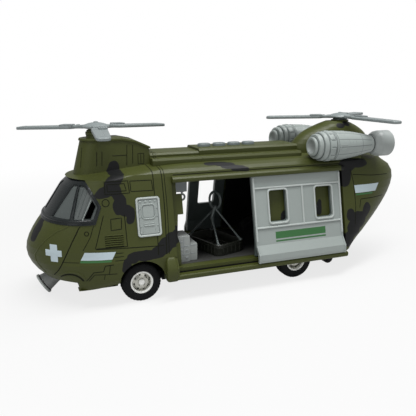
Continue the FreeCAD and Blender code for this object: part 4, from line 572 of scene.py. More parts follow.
def hull_lines():
    """Grooves drawn as low beads painted dark for their shade, louvres and ridges of the hull, with a seam
    behind the cockpit.
    """
    groove, raised, deep = Shape(), Shape(), Shape()

    def line(points, **sizes):
        side_line(groove, HULL, points, **sizes)

    line([(-98.6, 56.4), (-99.4, 55.6), (-102.2, 50.4), (-104.7, 45.8), (-107.2, 40.6), (-110, 34.6),
          (-113.2, 28.2), (-116, 23.4)], width=0.75)
    line([(-90.2, 56.2), (-90.8, 55.4), (-93, 49.4), (-98.1, 41.1)], width=0.45)
    line([(-83.5, 62.3), (-90.4, 41.8), (-69.5, 41.2), (-69.8, 61.7)])
    line([(-79, 59.6), (-72, 59.8), (-72.4, 52.7), (-79.3, 52.4)], closed=True)
    line([(-97, 20.5), (-92.5, 26.4), (-86.3, 26.6), (-85, 30.3), (-79.5, 30.4)])
    line([(-96.2, 19.6), (-92, 24.8), (-77.5, 24)], width=0.45)
    line([(-81.8, 29.9), (-82.6, 24.6)], width=0.45)
    line([(-85.4, 24.2), (-86, 21)], width=0.4)
    line([(-100.8, 33.3), (-111, 33.5)], width=0.4)
    line([(-78.6, 35.2), (-72.4, 35.1)], width=0.45)
    line([(-77.4, 37.5), (-72.6, 37.4)], width=0.45)
    line([(-78.4, 32.8), (-72.2, 32.7)], width=0.4)
    line([(-81.1, 83.2), (-65.8, 83.2), (-65.2, 75.3), (-81.3, 75.4)], closed=True)
    line([(-79.6, 81.6), (-68.3, 81.6), (-67.2, 76.9), (-79.6, 77.1)], closed=True)
    line([(-64.4, 82.9), (-49.8, 82.6), (-49.2, 75.8), (-64.2, 76.2)], closed=True)
    line([(-89.9, 41.4), (-70.8, 40.2), (-50.3, 39.3), (-44.7, 39.3)])
    line([(109.3, 79.8), (111.6, 69.9), (112.4, 52), (111, 38)])
    line([(111.3, 76), (129.9, 73.8), (152, 72.5)])
    line([(118, 56.5), (146, 56)])
    line([(-34.5, 84.9), (99.5, 84.9)], width=0.6)
    # Painted shade: a wide dark strip for the groove along the sill.
    side_line(deep, HULL, [(-35, 19.2), (95, 19.2)], width=1.2, high=0.05, step=3)
    line([(118, 56.5), (116.5, 50)])
    line(arc((-81.4, 70.1), 2.3, 0, 342, 19), closed=True, step=0.8)
    line(arc((-95.1, 51.8), 1.3, 0, 342, 13), closed=True, step=0.6)
    # Louvres: raised slats, each with a painted shadow line under it.
    for level in range(6):
        z = 49.4 - 1.35 * level
        side_line(raised, HULL, [(-83.6, z), (-71.8, z - 0.35)], width=0.85, high=0.4)
        line([(-83.8, z - 0.68), (-71.6, z - 1.02)], width=0.42)
    side_line(raised, HULL, [(-105.6, 56.6), (-108, 54.9), (-112.3, 52.9), (-119, 47.1), (-123.5, 41.7),
                             (-126.6, 35.8), (-126.3, 31.8), (-124.4, 28.3), (-120.4, 23.5)],
              width=1.1, high=0.28, step=1)
    side_line(raised, HULL, arc((-105.8, 17.6), 9.3, 148, 28, 20), width=1.3, high=0.35, step=0.8)
    line(arc((-106.6, 16.6), 8.6, 132, 22, 18), width=1.3, step=0.8)
    for x, lean, wide in ((-49, 0.6, 0.6), (-43.4, 1.2, 0.6), (-41.6, 1.2, 0.45)):
        for hand in HANDS:
            rays = []
            for step in range(70):
                angle = radians(14 + step * 1.42) * hand
                centre = Vector((x + lean * sin(radians(step * 2.5)), 0, 50))
                rays.append(inward(centre, Vector((0, sin(angle), cos(angle)))))
            bead(groove, HULL, rays, width=wide)
    roof = surface("roof_spine", "button_panel", "fuselage_left", "fuselage_right")
    for x in (-43.2, -41.6):
        rays = [(Vector((x, y * 0.8, 130)), Vector((0, 0, -1))) for y in range(-24, 25)]
        bead(groove, roof, rays, width=0.45, high=0.1)
    groove.piece("hull_lines", "groove")
    deep.piece("sill_groove", "dark")
    raised.piece("hull_ridges", "lip")


def hull_prints():
    """Plain cross, slanted bars and thin green lines."""
    white, green = Shape(), Shape()
    x, z, half = -115.4, 39, 2.05
    up, back, front = 5.6, 5.6 * 0.86, 5.6 * 0.8
    for hand in HANDS:
        for x0, x1, high, across, rows in ((x - half, x + half, up, 6, 12), (x - back, x - half, half, 5, 6),
                                           (x + half, x + front, half, 5, 6)):
            corners = [(x0, z - high), (x1, z - high), (x1, z + high), (x0, z + high)]
            patch(white, HULL, corners, hand, across, rows)
        patch(white, HULL, [(-99.9, 34.8), (-80.2, 34), (-77.4, 38.6), (-97.2, 39.8)], hand)
        patch(green, HULL, [(-100.4, 33.2), (-80.9, 32.4), (-80.3, 33.7), (-100, 34.5)], hand)
        patch(white, HULL, [(112.9, 61.6), (134.9, 61.2), (139.2, 66.9), (112, 67.7)], hand)
        patch(green, HULL, [(113.3, 59.8), (131, 59.5), (131.6, 60.7), (113.2, 61)], hand)
    white.piece("hull_marks_white", "white")
    green.piece("hull_marks_green", "green")


def pylon_lines():
    """Panel grooves on the front pylon, drawn as beads painted dark for their shade."""
    target = surface("front_pylon")
    groove = Shape()
    for points in ([(-60.9, 104.5), (-61.8, 90.5)], [(-81.7, 100.5), (-82.3, 91)],
                   [(-78.2, 100.5), (-78.8, 91)], [(-71.4, 97.3), (-61.5, 97.4)],
                   [(-57, 104), (-57.6, 91.5)]):
        side_line(groove, target, points, width=0.45)
    hatch = [(-53.6, 98), (-49.4, 98), (-49.8, 91), (-53.8, 91)]
    side_line(groove, target, hatch, closed=True, width=0.45)
    side_line(groove, target, [(-51.6, 97.4), (-51.8, 91.6)], width=0.4)
    side_line(groove, target, [(-90.5, 103), (-92.5, 90)], width=0.4)
    groove.piece("pylon_lines", "groove")


def canopy_lines():
    """Folds in the rear pane, a pale edge round the open side window, and the canopy's lower lip."""
    target = surface("canopy_frame", "canopy_glass")
    folds, pale, lip = Shape(), Shape(), Shape()
    for shift, wide in ((0, 0.6), (2.6, 0.9), (-2.4, 0.5)):
        side_line(folds, target, [(-91.3 + shift, 78.4), (-95 + shift, 70.7), (-99.2 + shift, 61.6)],
                  width=wide, high=0.3)
    side_line(pale, target, [(-90.1, 72.2), (-96.7, 60.2)], width=0.5, high=0.25, step=0.8)
    side_line(pale, target, [(-96.4, 59.9), (-91.6, 59.9)], width=0.6, high=0.25, step=0.8)
    for hand in HANDS:
        rays = []
        for step in range(41):
            angle = radians(-4 + 82 * step / 40) * hand
            rays.append(inward(Vector((-84, 0, 59.4)), Vector((-cos(angle), sin(angle), 0))))
        bead(lip, target, rays, width=2, high=0.75, sink=0.3)
    folds.piece("canopy_folds", "pane", slot="canopy_pane")
    pale.piece("canopy_window_edge", "pale", slot="canopy_frame")
    lip.piece("canopy_lip", "slate", slot="canopy_frame")


def belly_skin():
    """Carries the hull side down over the front of the chassis."""
    chassis = surface("belly_chassis")
    skin = Shape()
    inner_y = 30
    for hand in HANDS:
        below = cast(chassis, Vector((-92, hand * 33, -5)), Vector((0, 0, 1)))[0].z
        rings = []
        for step in range(20):
            share = step / 19
            x = -101.6 + 28 * share
            hit = cast(HULL, *side_ray(x, 20.6, hand))
            if hit is None:
                continue
            top = hit[0]
            foot = below + 0.7 + 3.4 * share
            side = top.y - hand * (0.7 + 1.6 * share)
            rings.append([top + Vector((0, hand * 0.06, 0)),
                          Vector((x, top.y - hand * 0.2, (top.z + foot) / 2 + 1)),
                          Vector((x, side, foot + 0.6)), Vector((x, side - hand * 0.9, foot)),
                          Vector((x, hand * inner_y, foot)), Vector((x, hand * inner_y, foot + 1.2)),
                          Vector((x, side - hand * 1.6, foot + 1.5)), top - Vector((0, hand * 1.6, 0))])
        skin.loft(rings)
    skin.piece("belly_front_skin", "camo", angle=50)


def sill_posts():
    """Rounded posts at the front ends of the door sills."""
    posts = Shape()
    front, rear, inner = -44.4, -36.4, 41
    levels = ((14.6, 46.6, 0.5), (15.2, 47.1, 0.1), (22, 47.2, 0), (24.5, 46.7, 0), (26.8, 45.5, 0.1),
              (28.8, 44.2, 0.5), (30.1, 43.2, 1.1), (30.8, 42.4, 2.1))
    for hand in HANDS:
        rings = []
        for z, outer, inset in levels:
            half_y = (outer - inner) / 2
            outline = rounded_outline((rear - front) / 2 - inset, half_y, min(1.6, half_y * 0.9), 4)
            rings.append([((front + rear) / 2 + x, hand * (inner + half_y) + y, z) for x, y in outline])
        posts.loft(rings)
    posts.piece("sill_posts", "camo", angle=50)


hull_lines()
hull_prints()
sill_posts()
pylon_lines()
canopy_lines()
belly_skin()


# ---------------- rotors

def blade_section(radius, back, front, thick):
    """A flat section with rounded edges, across a blade along X."""
    middle, half = (front + back) / 2, (front - back) / 2
    return [(radius, middle + across, thick / 2 + up)
            for across, up in rounded_outline(half, thick / 2, min(0.6, thick * 0.45), 3)]


def make_rotor(end):
    """A hub and three blades, turned and drooped as the CAD rotor's are."""
    node = end + "_rotor"
    centre = Vector(JOINTS[node + "_spin"]["pos_m"]) / MM
    tips = []
    for vertex in NODES[node].data.vertices:
        arm = vertex.co / MM - centre
        tips.append((hypot(arm.x, arm.y), atan2(arm.y, arm.x), arm.z))
    radius = max(tip[0] for tip in tips)
    far = [tip for tip in tips if tip[0] > radius * 0.97]
    phase = atan2(sum(sin(3 * a) for r, a, z in far), sum(cos(3 * a) for r, a, z in far)) / 3
    droop = asin(-min(z for r, a, z in far) / radius)
    whole, dark = Shape(), Shape()
    hub = [(0, 0), (8, 0), (8.7, 0.4), (9, 1.2), (8.4, 2.1), (6.9, 2.8), (5.2, 3.35), (3.4, 3.75),
           (1.7, 3.95), (1.5, 4.4), (0.9, 4.65), (0, 4.7)]
    whole.lathe(hub, Matrix.Translation(centre), 60)
    blade = ((6.8, -3.4, 3.4, 2.6), (9.5, -3.3, 3.3, 2.5), (11.2, -2.4, 2.5, 2.3), (14.6, -2.3, 2.6, 2.25),
             (15.8, -3.2, 4.2, 2.25), (17.2, -4.2, 5.8, 2.2), (18.6, -4.4, 6.15, 2.2),
             (30, -4.3, 5.85, 2.2), (42, -4.2, 5.5, 2.2), (radius - 3, -3.95, 4.95, 2.15),
             (radius - 1.6, -3.7, 4.7, 2.1), (radius - 0.7, -3.1, 4.1, 1.9), (radius - 0.2, -2.3, 3.3, 1.5))
    for n in range(3):
        turned = (Matrix.Translation(centre) @ Matrix.Rotation(phase + radians(120 * n), 4, "Z")
                  @ Matrix.Rotation(droop, 4, "Y"))
        whole.loft([blade_section(*section) for section in blade], turned)
        whole.block((15.5, 0.2, 0.9), (24.8, 5.95, 3.2), turned, 0.25)
        whole.block((12.4, -1.7, 1), (14.4, 1.9, 2.8), turned, 0.3)
        dark.block((24.8, -3.4, 1.2), (25.2, 5.3, 2.28), turned, 0.08)
        for across in (1, 2.6, 4.2):
            dark.block((16.6, across, 2.6), (23.6, across + 0.8, 3.27), turned, 0.06)
        dark.block((radius - 4.4, -3.5, 1.2), (radius - 3.9, 4.4, 2.22), turned, 0.1)
        whole.block((27.6, 1.6, 1.2), (radius - 6.4, 2.3, 2.38), turned, 0.15)
    whole.piece(end + "_rotor_moulding", "rotor", node + "_set", "rotor_grey", (node,))
    dark.piece(end + "_rotor_insets", "rotor_dark", node + "_set", "rotor_grey")


def make_rotor_bosses():
    """Stepped seats under the rotors, fixed to the pylon and the hood."""
    for end, name, look, turns, profile in (
            ("front", "front_rotor_boss", "camo", 48, [
                (4.2, -4.2), (7.3, -4.2), (7.3, -2.5), (7, -2.3), (6.5, -2.3), (6.5, -1.3), (6.2, -1.1),
                (5.5, -1.1), (5.5, -0.2), (4.2, -0.1)]),
            ("rear", "rear_rotor_neck", "rotor_dark", 40, [
                (4.1, -1.4), (5.6, -1.4), (5.6, -0.7), (5.2, -0.1), (4.1, -0.1)])):
        boss = Shape()
        boss.lathe(profile, Matrix.Translation(Vector(JOINTS[end + "_rotor_spin"]["pos_m"]) / MM), turns)
        boss.piece(name, look)


for end in ("front", "rear"):
    make_rotor(end)
make_rotor_bosses()


# ---------------- engine nacelles

def make_nacelle_details(hand):
    """Panel outlines, grooves painted darker as their shade, joint bands, the intake's dish and the
    exhaust's lip.
    """
    low, high = box("nacelle_intake_" + hand)
    body_x = box("nacelle_body_" + hand)[0].x
    bell_low, bell_high = box("nacelle_exhaust_" + hand)
    axis = Vector((0, (low.y + high.y) / 2, (low.z + high.z) / 2))
    along = Matrix.Translation(axis) @ Matrix.Rotation(radians(90), 4, "Y")
    raised, groove, joint, lip, dish = Shape(), Shape(), Shape(), Shape(), Shape()
    target = surface("nacelle_intake_" + hand, "nacelle_body_" + hand, "nacelle_exhaust_" + hand)

    def away(angle):
        return Vector((0, sin(radians(angle)), cos(radians(angle))))

    def ray(x, angle):
        return inward(Vector((x, axis.y, axis.z)), away(angle), 40)

    def band(shape, x, step=8, **sizes):
        bead(shape, target, [ray(x, angle) for angle in range(0, 360, step)], closed=True, **sizes)

    def panel(shape, start, end, angle, half, **sizes):
        """The outline of a panel that wraps the nacelle, from start to end along X."""
        corners = [ray(x, angle + a) for x, a in ((start, -half), (start, half), (end, half), (end, -half))]
        loop = []
        for (here, way), (there, other) in zip(corners, corners[1:] + corners[:1]):
            loop += [(here.lerp(there, k / 4), way.lerp(other, k / 4).normalized()) for k in range(4)]
        bead(shape, target, loop, closed=True, **sizes)

    for angle in range(-165, 196, 60):
        panel(groove, high.x - 6.3, high.x - 1.5, angle, 17, width=0.6, high=0.06)
        panel(raised, high.x - 5.6, high.x - 2.2, angle, 12, width=0.7, high=0.3)
    for radius in (7.15, 9.45):
        rays = [(Vector((low.x - 20, axis.y, axis.z)) + away(angle) * radius, Vector((1, 0, 0)))
                for angle in range(0, 360, 8)]
        bead(groove, target, rays, width=0.6, high=0.04, closed=True)
    for angle in range(0, 360, 30):
        bead(groove, target, [ray(body_x + 1.5 + 1.6 * k, angle) for k in range(21)], width=0.4, high=0.06)
    for angle in range(-150, 211, 60):
        panel(raised, body_x + 2.6, body_x + 8.5, angle, 9, width=0.6, high=0.22)
        for k in range(3):
            bead(raised, target, [ray(body_x + 11 + 3.2 * k, angle + 22 + a) for a in range(-6, 7, 3)],
                 width=0.7, high=0.2)
    for x in (high.x, bell_low.x):
        band(joint, x - 0.25, 6, width=1.2, high=0.12)
    band(groove, body_x + 24, width=0.35, high=0.05)
    for x in (body_x + 1.2, high.x - 6.9):
        band(groove, x, width=0.45, high=0.05)
    dish.lathe([(0, 3.3), (2.2, 3), (3.6, 2.2), (4.5, 1.2), (4.95, 0.5), (5.05, 0.8), (5.05, 3.6),
                (0, 3.8)], along @ Matrix.Translation((0, 0, low.x)), 36)
    rim = (bell_high.z - bell_low.z) / 2 - 0.35
    lip.lathe([(rim - 0.7, -0.5), (rim + 0.1, -0.5), (rim + 0.1, -0.15), (rim - 0.25, 0),
               (rim - 0.6, -0.1)], along @ Matrix.Translation((0, 0, bell_high.x - 0.1)), 60)
    for shape, name, look in ((raised, "blocks", "pale"), (groove, "lines", "pale_groove_shade"),
                              (lip, "lip", "pale_rib"), (dish, "dish", "bell"), (joint, "joints", "joint")):
        shape.piece("nacelle_%s_%s" % (name, hand), look, slot="light_panel")


for hand in ("left", "right"):
    make_nacelle_details(hand)


# ---------------- sound buttons

def button_ring(x, shrink, z):
    """An outline of an oval button, drawn in by shrink."""
    long, wide = 5, 3.5
    ring = []
    for step in range(40):
        across, up = polar(1, 2 * pi * step / 40)
        ring.append((x + copysign(long - wide, across) + (wide - shrink) * across, (wide - shrink) * up, z))
    return ring


def make_buttons():
    """Four oval caps with a shallow dish on top."""
    foot = box("button_panel")[1].z - 1.2
    for number in range(1, 5):
        node = "sound_button_%d" % number
        low, high = box(node)
        top = high.z
        cap = Shape()
        cap.loft([button_ring((low.x + high.x) / 2, shrink, z) for shrink, z in (
            (0, foot), (0, top - 0.9), (0.25, top - 0.35), (0.75, top - 0.04), (1.1, top), (1.5, top - 0.12),
            (2.1, top - 0.32), (3, top - 0.4))])
        cap.piece("button_cap_%d" % number, "button", "button_%d" % number, "button_grey", (node,))


make_buttons()


# ---------------- wheels

def make_wheel(end, hand, sign):
    """A tyre with a tread, and a dished disc with a bright ring, a bright cap and holes painted dark as
    shade.
    """
    tyre_node, hub_node, body = "%s_tyre_%s" % (end, hand), "%s_hub_%s" % (end, hand), end + "_wheel_set"
    low, high = box(tyre_node)
    rim_low, rim_high = box(hub_node)
    radius, rim, wide = (high.z - low.z) / 2, (rim_high.z - rim_low.z) / 2, high.y - low.y
    inner = ((low.x + high.x) / 2, high.y if sign < 0 else low.y, (low.z + high.z) / 2)
    turn = Matrix.Translation(inner) @ Matrix.Rotation(radians(-90 * sign), 4, "X")
    tyre, disc, ring, holes = Shape(), Shape(), Shape(), Shape()
    rings = []
    for step in range(TREAD_STEPS):
        tread = radius - (TREAD_DEEP if step % 3 == 0 else 0)
        outline = [
            (rim, wide - 1.6), (rim, 0.6), (rim + 0.6, 0.15), (radius - 3.4, 0), (radius - 3.1, 0.22),
            (radius - 2.7, 0.05), (radius - 1.4, 0.3), (radius - 0.6, 0.8), (tread - 0.15, 1.5),
            (tread, 2.3), (tread, wide * 0.42), (radius - 0.4, wide * 0.44), (radius - 0.4, wide * 0.56),
            (tread, wide * 0.58), (tread, wide - 2.3), (tread - 0.15, wide - 1.5),
            (radius - 0.6, wide - 0.8), (radius - 1.4, wide - 0.3), (radius - 2.6, wide - 0.02),
            (radius - 3.6, wide), (rim + 0.5, wide - 0.1), (7.9, wide - 0.45), (7.8, wide - 1.6)]
        rings.append([(*polar(r, 2 * pi * step / TREAD_STEPS), h) for r, h in outline])
    tyre.loft(rings, turn, closed=True)
    face = wide - 1.5
    disc.lathe([(1.45, 1), (rim - 0.05, 1), (rim - 0.05, face - 0.3), (7.2, face), (6.7, face - 0.1),
                (6.5, face - 0.8), (6.2, face - 1), (5.4, face - 0.8), (4.4, face - 0.1), (3.6, face + 0.3),
                (3.1, face + 0.25), (2.6, face - 0.1), (1.45, face - 0.2)], turn, 60)
    ring.lathe([(6.55, face - 0.3), (6.6, face + 0.55), (6.9, face + 1), (7.4, face + 1.2),
                (7.85, face + 1), (7.95, face + 0.6), (7.85, face - 0.3)], turn, 72)
    ring.lathe([(0, face - 0.6), (2.1, face - 0.6), (2.1, face + 0.35), (1.75, face + 0.7),
                (0.9, face + 0.85), (0, face + 0.85)], turn, 36)
    # Painted shade: shallow dimples painted near black stand for the holes in the disc.
    for n in range(8):
        spot = turn @ Matrix.Rotation(radians(45 * n + 12), 4, "Z") @ Matrix.Translation((5, 0, face))
        holes.lathe([(0, -1.4), (0.75, -1.4), (0.75, -0.3), (0.4, -0.4), (0, -0.45)], spot, 12)
    tyre.piece(tyre_node + "_rubber", "tyre", body, "tyre_black", (tyre_node,), angle=50)
    disc.piece(hub_node + "_disc", "silver", body, "hub_silver", (hub_node,))
    ring.piece(hub_node + "_ring", "bright", body, "hub_silver")
    holes.piece(hub_node + "_holes", "dark", body, "hub_silver")


for end in ("front", "rear"):
    for hand, sign in SIDES:
        make_wheel(end, hand, sign)


# ---------------- hatch panels and doors

def make_hatch_details(hand, sign):
    """Rim, relief, rivets and fine lines of the pale panel behind the cockpit; the fine lines are painted
    shade.
    """
    node = "hatch_panel_" + hand
    low, high = box(node)
    target = surface(node)
    x, z = (low.x + high.x) / 2, (low.z + high.z) / 2
    rim, raised, fine = Shape(), Shape(), Shape()

    def line(shape, points, **sizes):
        side_line(shape, target, [(x + dx, z + dz) for dx, dz in points], (sign,), **sizes)

    line(rim, rounded_outline(7.55, 12.2, 1.4), closed=True, width=1.2, high=0.3)
    # Painted shade: thin dark lines within the rim and within the raised octagon.
    line(fine, rounded_outline(6.55, 11.2, 1), closed=True, width=0.35, high=0.05)
    line(raised, [(-4.6, 0.2), (-3.2, -1.3), (3.2, -1.3), (4.6, 0.2), (4.6, 6.6), (3.2, 8.1), (-3.2, 8.1),
                  (-4.6, 6.6)], closed=True, width=0.9, high=0.4)
    line(fine, [(-3.8, 0.4), (-2.8, -0.5), (2.8, -0.5), (3.8, 0.4), (3.8, 6.3), (2.8, 7.3), (-2.8, 7.3),
                (-3.8, 6.3)], closed=True, width=0.3, high=0.05)
    line(raised, [(-3.3, -5.7), (3.3, -5.7)], width=1, high=0.45)
    line(raised, [(-4.4, -10.2), (-4, -4.4), (4, -4.4), (4.4, -10.2)], width=0.6, high=0.2)
    for dx in (-5, -1.7, 1.6, 4.9):
        line(raised, [(dx - 0.7, 10), (dx + 0.7, 10)], width=1.4, high=0.35)
    for dx in (-5.9, 5.9):
        for dz in (-10.4, -6, 0, 5.4):
            place, normal = cast(target, *side_ray(x + dx, z + dz, sign))
            turn = Vector((0, 0, 1)).rotation_difference(normal).to_matrix().to_4x4()
            raised.lathe([(0, -0.3), (0.5, -0.3), (0.5, 0.15), (0.3, 0.35), (0, 0.4)],
                         Matrix.Translation(place) @ turn, 10)
    rim.piece("hatch_rim_" + hand, "pale_rib", slot="light_panel")
    raised.piece("hatch_relief_" + hand, "pale", slot="light_panel")
    fine.piece("hatch_lines_" + hand, "pale_groove_shade", slot="light_panel")


for hand, sign in SIDES:
    make_hatch_details(hand, sign)


def make_door_details(hand, sign):
    """Ribs and window frames that stand on the door, and a plain green stripe and underline."""
    node = "door_skin_" + hand
    low, high = box(node)
    target = surface(node)
    body = hand + "_door"
    ribs, green, shadow = Shape(), Shape(), Shape()
    span = high.x - low.x
    windows, middle = ((12.4, 26.8), (51.4, 65.8)), 40.3
    if sign > 0:
        windows, middle = tuple((span - b, span - a) for a, b in windows), span - middle

    def rib(points, shape=ribs, **sizes):
        side_line(shape, target, [(low.x + x, z) for x, z in points], (sign,), **sizes)

    for x in (0.72, span - 0.72):
        rib([(x, 34), (x, 79)], width=1.35, high=0.3)
    for z in (43.35, 71.55):
        rib([(1.2, z), (span - 1.2, z)], width=1.3, high=0.34)
    rib([(middle, 43.6), (middle, 71.2)], width=1.3, high=0.34)
    for start, end in windows:
        x, z = (start + end) / 2, 57.95
        rib([(x + dx, z + dz) for dx, dz in rounded_outline((end - start) / 2 + 0.68, 12.13, 2.4)],
            closed=True, width=1.3, high=0.4)
    for start, end in ((1.6, middle - 0.9), (middle + 0.9, span - 1.6)):
        for z in (70.65, 42.45):
            rib([(start, z), (end, z)], shadow, width=0.3, high=0.04)
    start, end = low.x + 16, low.x + 16 + 42.6
    for z0, z1, rows in ((34.6, 39.6, 4), (32.4, 33.5, 2)):
        patch(green, target, [(start, z0), (end, z0), (end, z1), (start, z1)], sign, 12, rows)
    ribs.piece("door_ribs_" + hand, "pale_rib", body, "light_panel")
    shadow.piece("door_lines_" + hand, "pale_groove_shade", body, "light_panel")
    green.piece("door_stripe_" + hand, "green", body, "light_panel")


for hand, sign in SIDES:
    make_door_details(hand, sign)
    soften("door_skin_" + hand, 0.22)


# ---------------- litter and sling

LITTER_TURN, RING_TURN = radians(107), radians(122)    # how the tray and the sling's eye stand about Z


def make_litter():
    """A ribbed tray that lies slantwise in the cabin, and its sling with a round eye."""
    low, high = box("litter_basket")
    centre = (low + high) / 2
    spot = Matrix.Translation((centre.x, centre.y, low.z)) @ Matrix.Rotation(LITTER_TURN, 4, "Z")
    tall = high.z - low.z
    half_x, half_y, corner, rib = 20, 13.5, 5, 0.9
    basket, sling = Shape(), Shape()
    levels = [(0.9, 0), (0.35, 0.5), (0.25, 5.4), (0, 5.9), (0, 6.4), (0.45, 6.7), (0.45, tall - 1.4),
              (0, tall - 1), (0, tall - 0.3), (0.3, tall), (1.4, tall), (1.7, tall - 0.4), (1.7, 1.8),
              (2.4, 1.2)]
    rings = [(rounded_outline(half_x - inset, half_y - inset, corner - inset * 0.6), z)
             for inset, z in levels]
    basket.loft([[(x, y, z) for x, y in outline] for outline, z in rings], spot)
    for hand in HANDS:
        y0, y1 = sorted((hand * half_y, hand * (half_y - rib)))
        for x in range(-16, 17, 4):
            basket.block((x - 0.5, y0, 0.6), (x + 0.5, y1, tall - 0.6), spot, 0.2)
        x0, x1 = sorted((hand * half_x, hand * (half_x - rib)))
        for y in range(-8, 9, 4):
            basket.block((x0, y - 0.5, 0.6), (x1, y + 0.5, tall - 0.6), spot, 0.2)
    for x in range(-12, 13, 6):
        basket.block((x - 1.6, 2.6 - half_y, 1), (x + 1.6, half_y - 2.6, 1.9), spot, 0.3)
    basket.piece("litter_moulding", "litter", "litter", "litter_dark", ("litter_basket",))

    top = box("litter_sling")[1].z
    eye = Vector((centre.x, centre.y, top - 13.6))
    ring, bar = 6.4, 0.95
    hub, turn = Vector((centre.x, centre.y, top - bar - ring)), Matrix.Rotation(RING_TURN, 3, "Z")
    angles = [2 * pi * step / 36 for step in range(36)]
    loop = [hub + turn @ Vector((5.1 * sin(angle), 0, -ring * cos(angle))) for angle in angles]
    sling.tube(loop, 0.9, 12, closed=True)
    sling.lathe([(0, -1.9), (1.1, -1.7), (1.5, -0.9), (1.6, 0), (1.5, 0.9), (1, 1.6), (0, 1.8)],
                Matrix.Translation(eye + Vector((0, 0, 0.4))), 20)
    split = eye + Vector((-3.4, -2, -6.5))
    sling.tube([eye + Vector((-0.8, -0.6, 0)), eye + Vector((-1.6, -1, -2)), split], [1.1, 0.95, 0.9])
    for sx in HANDS:
        for sy in HANDS:
            foot = spot @ Vector((sx * 17.3, sy * 10.8, tall - 0.2))
            start = split if foot.x < centre.x + 2 and foot.y < centre.y + 4 else eye
            sling.tube([foot.lerp(start, k / 8) for k in range(9)],
                       [0.95, 0.8, 0.7, 0.66, 0.66, 0.66, 0.7, 0.8, 0.9])
            sling.lathe([(0, -0.4), (1.3, -0.4), (1.5, 0.1), (1.2, 0.8), (0, 1)],
                        Matrix.Translation(foot), 14)
    sling.piece("sling_moulding", "sling", "litter", "sling_grey", ("litter_sling",))


make_litter()


# ---------------- cabin fittings and underside

def make_cabinet():
    """Drawer lines and grips."""
    low, high = box("equipment_cabinet")
    lines, knobs = Shape(), Shape()
    target = surface("equipment_cabinet")
    for z in (27.5, 33.5):
        side_line(lines, target, [(low.x + 0.8, z), (high.x - 0.8, z)], (-1,), width=0.5)
    side_line(lines, target, [(low.x + 4.5, low.z + 0.8), (low.x + 4.5, high.z - 0.8)], (-1,), width=0.5)
    for x, z in ((low.x + 2.4, 30.5), (low.x + 6.6, 30.5), (low.x + 6.6, 25), (low.x + 2.4, 37)):
        knobs.block((x - 0.8, low.y - 0.35, z - 0.4), (x + 0.8, low.y + 0.4, z + 0.4), None, 0.15)
    lines.piece("cabinet_lines", "hoist", slot="cabinet_grey")
    knobs.piece("cabinet_grips", "hoist", slot="cabinet_grey")


def make_hook():
    """The hoist's hook: a straight shank, a round bend and a collar."""
    high = box("hoist_hook")[1]
    hook = Shape()
    x, top, bend = high.x - 4 + 0.6, high.z, 2.3
    points = [(x, 0, top + 0.5), (x, 0, top - 1.6), (x + 0.2, 0, top - 2.7)]
    for angle in range(10, 271, 20):
        points.append((x + bend * sin(radians(angle)) - 0.1, 0, top - 5.1 + bend * cos(radians(angle))))
    hook.tube(points, 0.75)
    hook.lathe([(0, -0.6), (1.4, -0.6), (1.5, 0), (1.2, 0.7), (0, 0.8)],
               Matrix.Translation((x, 0, top - 0.6)), 16)
    hook.piece("hook_moulding", "hoist", slot="hoist_grey", replaces=("hoist_hook",))


def make_searchlight():
    """A pale flange round the searchlight's rim, and painted shade in the gap behind it."""
    low, high = box("searchlight_housing")
    radius = (high.y - low.y) / 2
    pitch = radians(33)
    rim = Vector((low.x + radius * sin(pitch), 0, low.z + radius * cos(pitch)))
    turn = Matrix.Translation(rim) @ Matrix.Rotation(-pi / 2 - pitch, 4, "Y")
    flange, gap = Shape(), Shape()
    flange.lathe([(6.4, -0.1), (6.4, -1.2), (7.4, -1.25), (7.62, -1), (7.62, -0.2), (7.45, 0.1),
                  (6.9, 0.18)], turn, 60)
    # Painted shade: a dark ring for the gap behind the flange.
    gap.lathe([(6, -2.1), (6.6, -2.1), (6.85, -1.25), (6, -1.2)], turn, 60)
    flange.piece("searchlight_flange", "pale_rib", slot="light_body")
    gap.piece("searchlight_gap", "dark", slot="light_body")


make_cabinet()
make_hook()
make_searchlight()

for name, width in (("equipment_cabinet", 0.3), ("hoist_housing", 0.3), ("belly_chassis", 0.25),
                    ("front_pylon_cap", 0.25), ("roof_spine", 1), ("button_panel", 1.2),
                    ("door_sill_left", 0.8), ("door_sill_right", 0.8), ("door_rail_left", 0.9),
                    ("door_rail_right", 0.9), ("canopy_frame", 0.3), ("hatch_panel_left", 0.2),
                    ("hatch_panel_right", 0.2), ("searchlight_housing", 0.2)):
    soften(name, width)


# ---------------- floor, lights and camera

def background_share(tree):
    """1 for rays that see the background straight or through glass, and a share for reflections."""
    path = add_node(tree, "LightPath").outputs
    share = add_node(tree, "Math", path["Is Glossy Ray"], GLOSSY_SHARE, operation="MULTIPLY")
    for kind in ("Is Camera Ray", "Is Transmission Ray"):
        share = add_node(tree, "Math", share.outputs[0], path[kind], operation="MAXIMUM")
    return share.outputs[0]


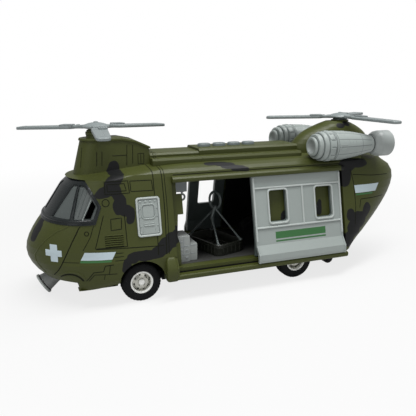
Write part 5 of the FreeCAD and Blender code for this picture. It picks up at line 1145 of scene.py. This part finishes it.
def make_floor():
    """Pale paper that keeps the toy's shadow near it and fades to plain white farther out."""
    floor = Shape()
    floor.add([(-9000, -6000, 0), (9000, -6000, 0), (9000, 12000, 0), (-9000, 12000, 0)], [(0, 1, 2, 3)])
    mesh = floor.mesh("floor")
    material = bpy.data.materials.new("floor_paper")
    tree, surface_socket = fresh_tree(material, "OutputMaterial")
    grain = add_node(tree, "TexNoise")
    grain.inputs["Scale"].default_value = 60
    tone = add_node(tree, "MapRange", grain.outputs[0], 0, 1, 0.56, 0.6)
    paper = add_node(tree, "BsdfDiffuse", tone.outputs[0])
    place = add_node(tree, "TexCoord").outputs["Object"]
    away = add_node(tree, "VectorMath", place, operation="LENGTH").outputs["Value"]
    fade = add_node(tree, "MapRange", away, FLOOR_NEAR, FLOOR_FAR, FLOOR_WHITE, 1,
                    interpolation_type="SMOOTHSTEP")
    share = add_node(tree, "Math", background_share(tree), fade.outputs[0], operation="MULTIPLY")
    glow = add_node(tree, "Emission")
    mix = add_node(tree, "MixShader", share.outputs[0], paper.outputs[0], glow.outputs[0])
    wire(tree, mix.outputs[0], surface_socket)
    mesh.materials.append(material)
    linked("floor", mesh)


def make_world():
    """Soft white surroundings, plain white where only the background is seen."""
    world = bpy.data.worlds.new("studio")
    bpy.context.scene.world = world
    tree, surface_socket = fresh_tree(world, "OutputWorld")
    soft, white = [add_node(tree, "Background", (1, 1, 1, 1), level) for level in (WORLD_LEVEL, 1)]
    mix = add_node(tree, "MixShader", background_share(tree), soft.outputs[0], white.outputs[0])
    wire(tree, mix.outputs[0], surface_socket)


def aim(thing, place, target):
    """Puts a lamp or camera at a place, turned toward a target, in metres."""
    thing.location = Vector(place)
    thing.rotation_mode = "QUATERNION"
    thing.rotation_quaternion = (Vector(target) - thing.location).to_track_quat("-Z", "Y")


def make_light(name, place, target, size, power):
    data = bpy.data.lights.new(name, "AREA")
    data.shape = "RECTANGLE"
    data.size, data.size_y = size
    data.energy = power
    aim(linked(name, data), place, target)


def make_camera(place, target, lens):
    data = bpy.data.cameras.new("view")
    data.sensor_width = 36
    data.lens = lens
    data.clip_start, data.clip_end = 0.01, 20
    camera = linked("view", data)
    bpy.context.scene.camera = camera
    aim(camera, place, target)


make_floor()
make_world()
make_light("top_softbox", (0.06, -0.16, 0.95), (0, 0, 0.05), (1.15, 0.2), 12.6)
make_light("front_softbox", (-0.75, -0.55, 0.55), (-0.02, 0, 0.05), (0.6, 0.6), 1.35)
make_light("side_softbox", (0.25, -1, 0.5), (0.02, 0, 0.05), (0.8, 0.5), 1.1)

make_camera((-0.1408, -0.3650, 0.1486), (0.0030, 0, 0.0515), 45.41)
bpy.context.scene.view_settings.view_transform = "Standard"
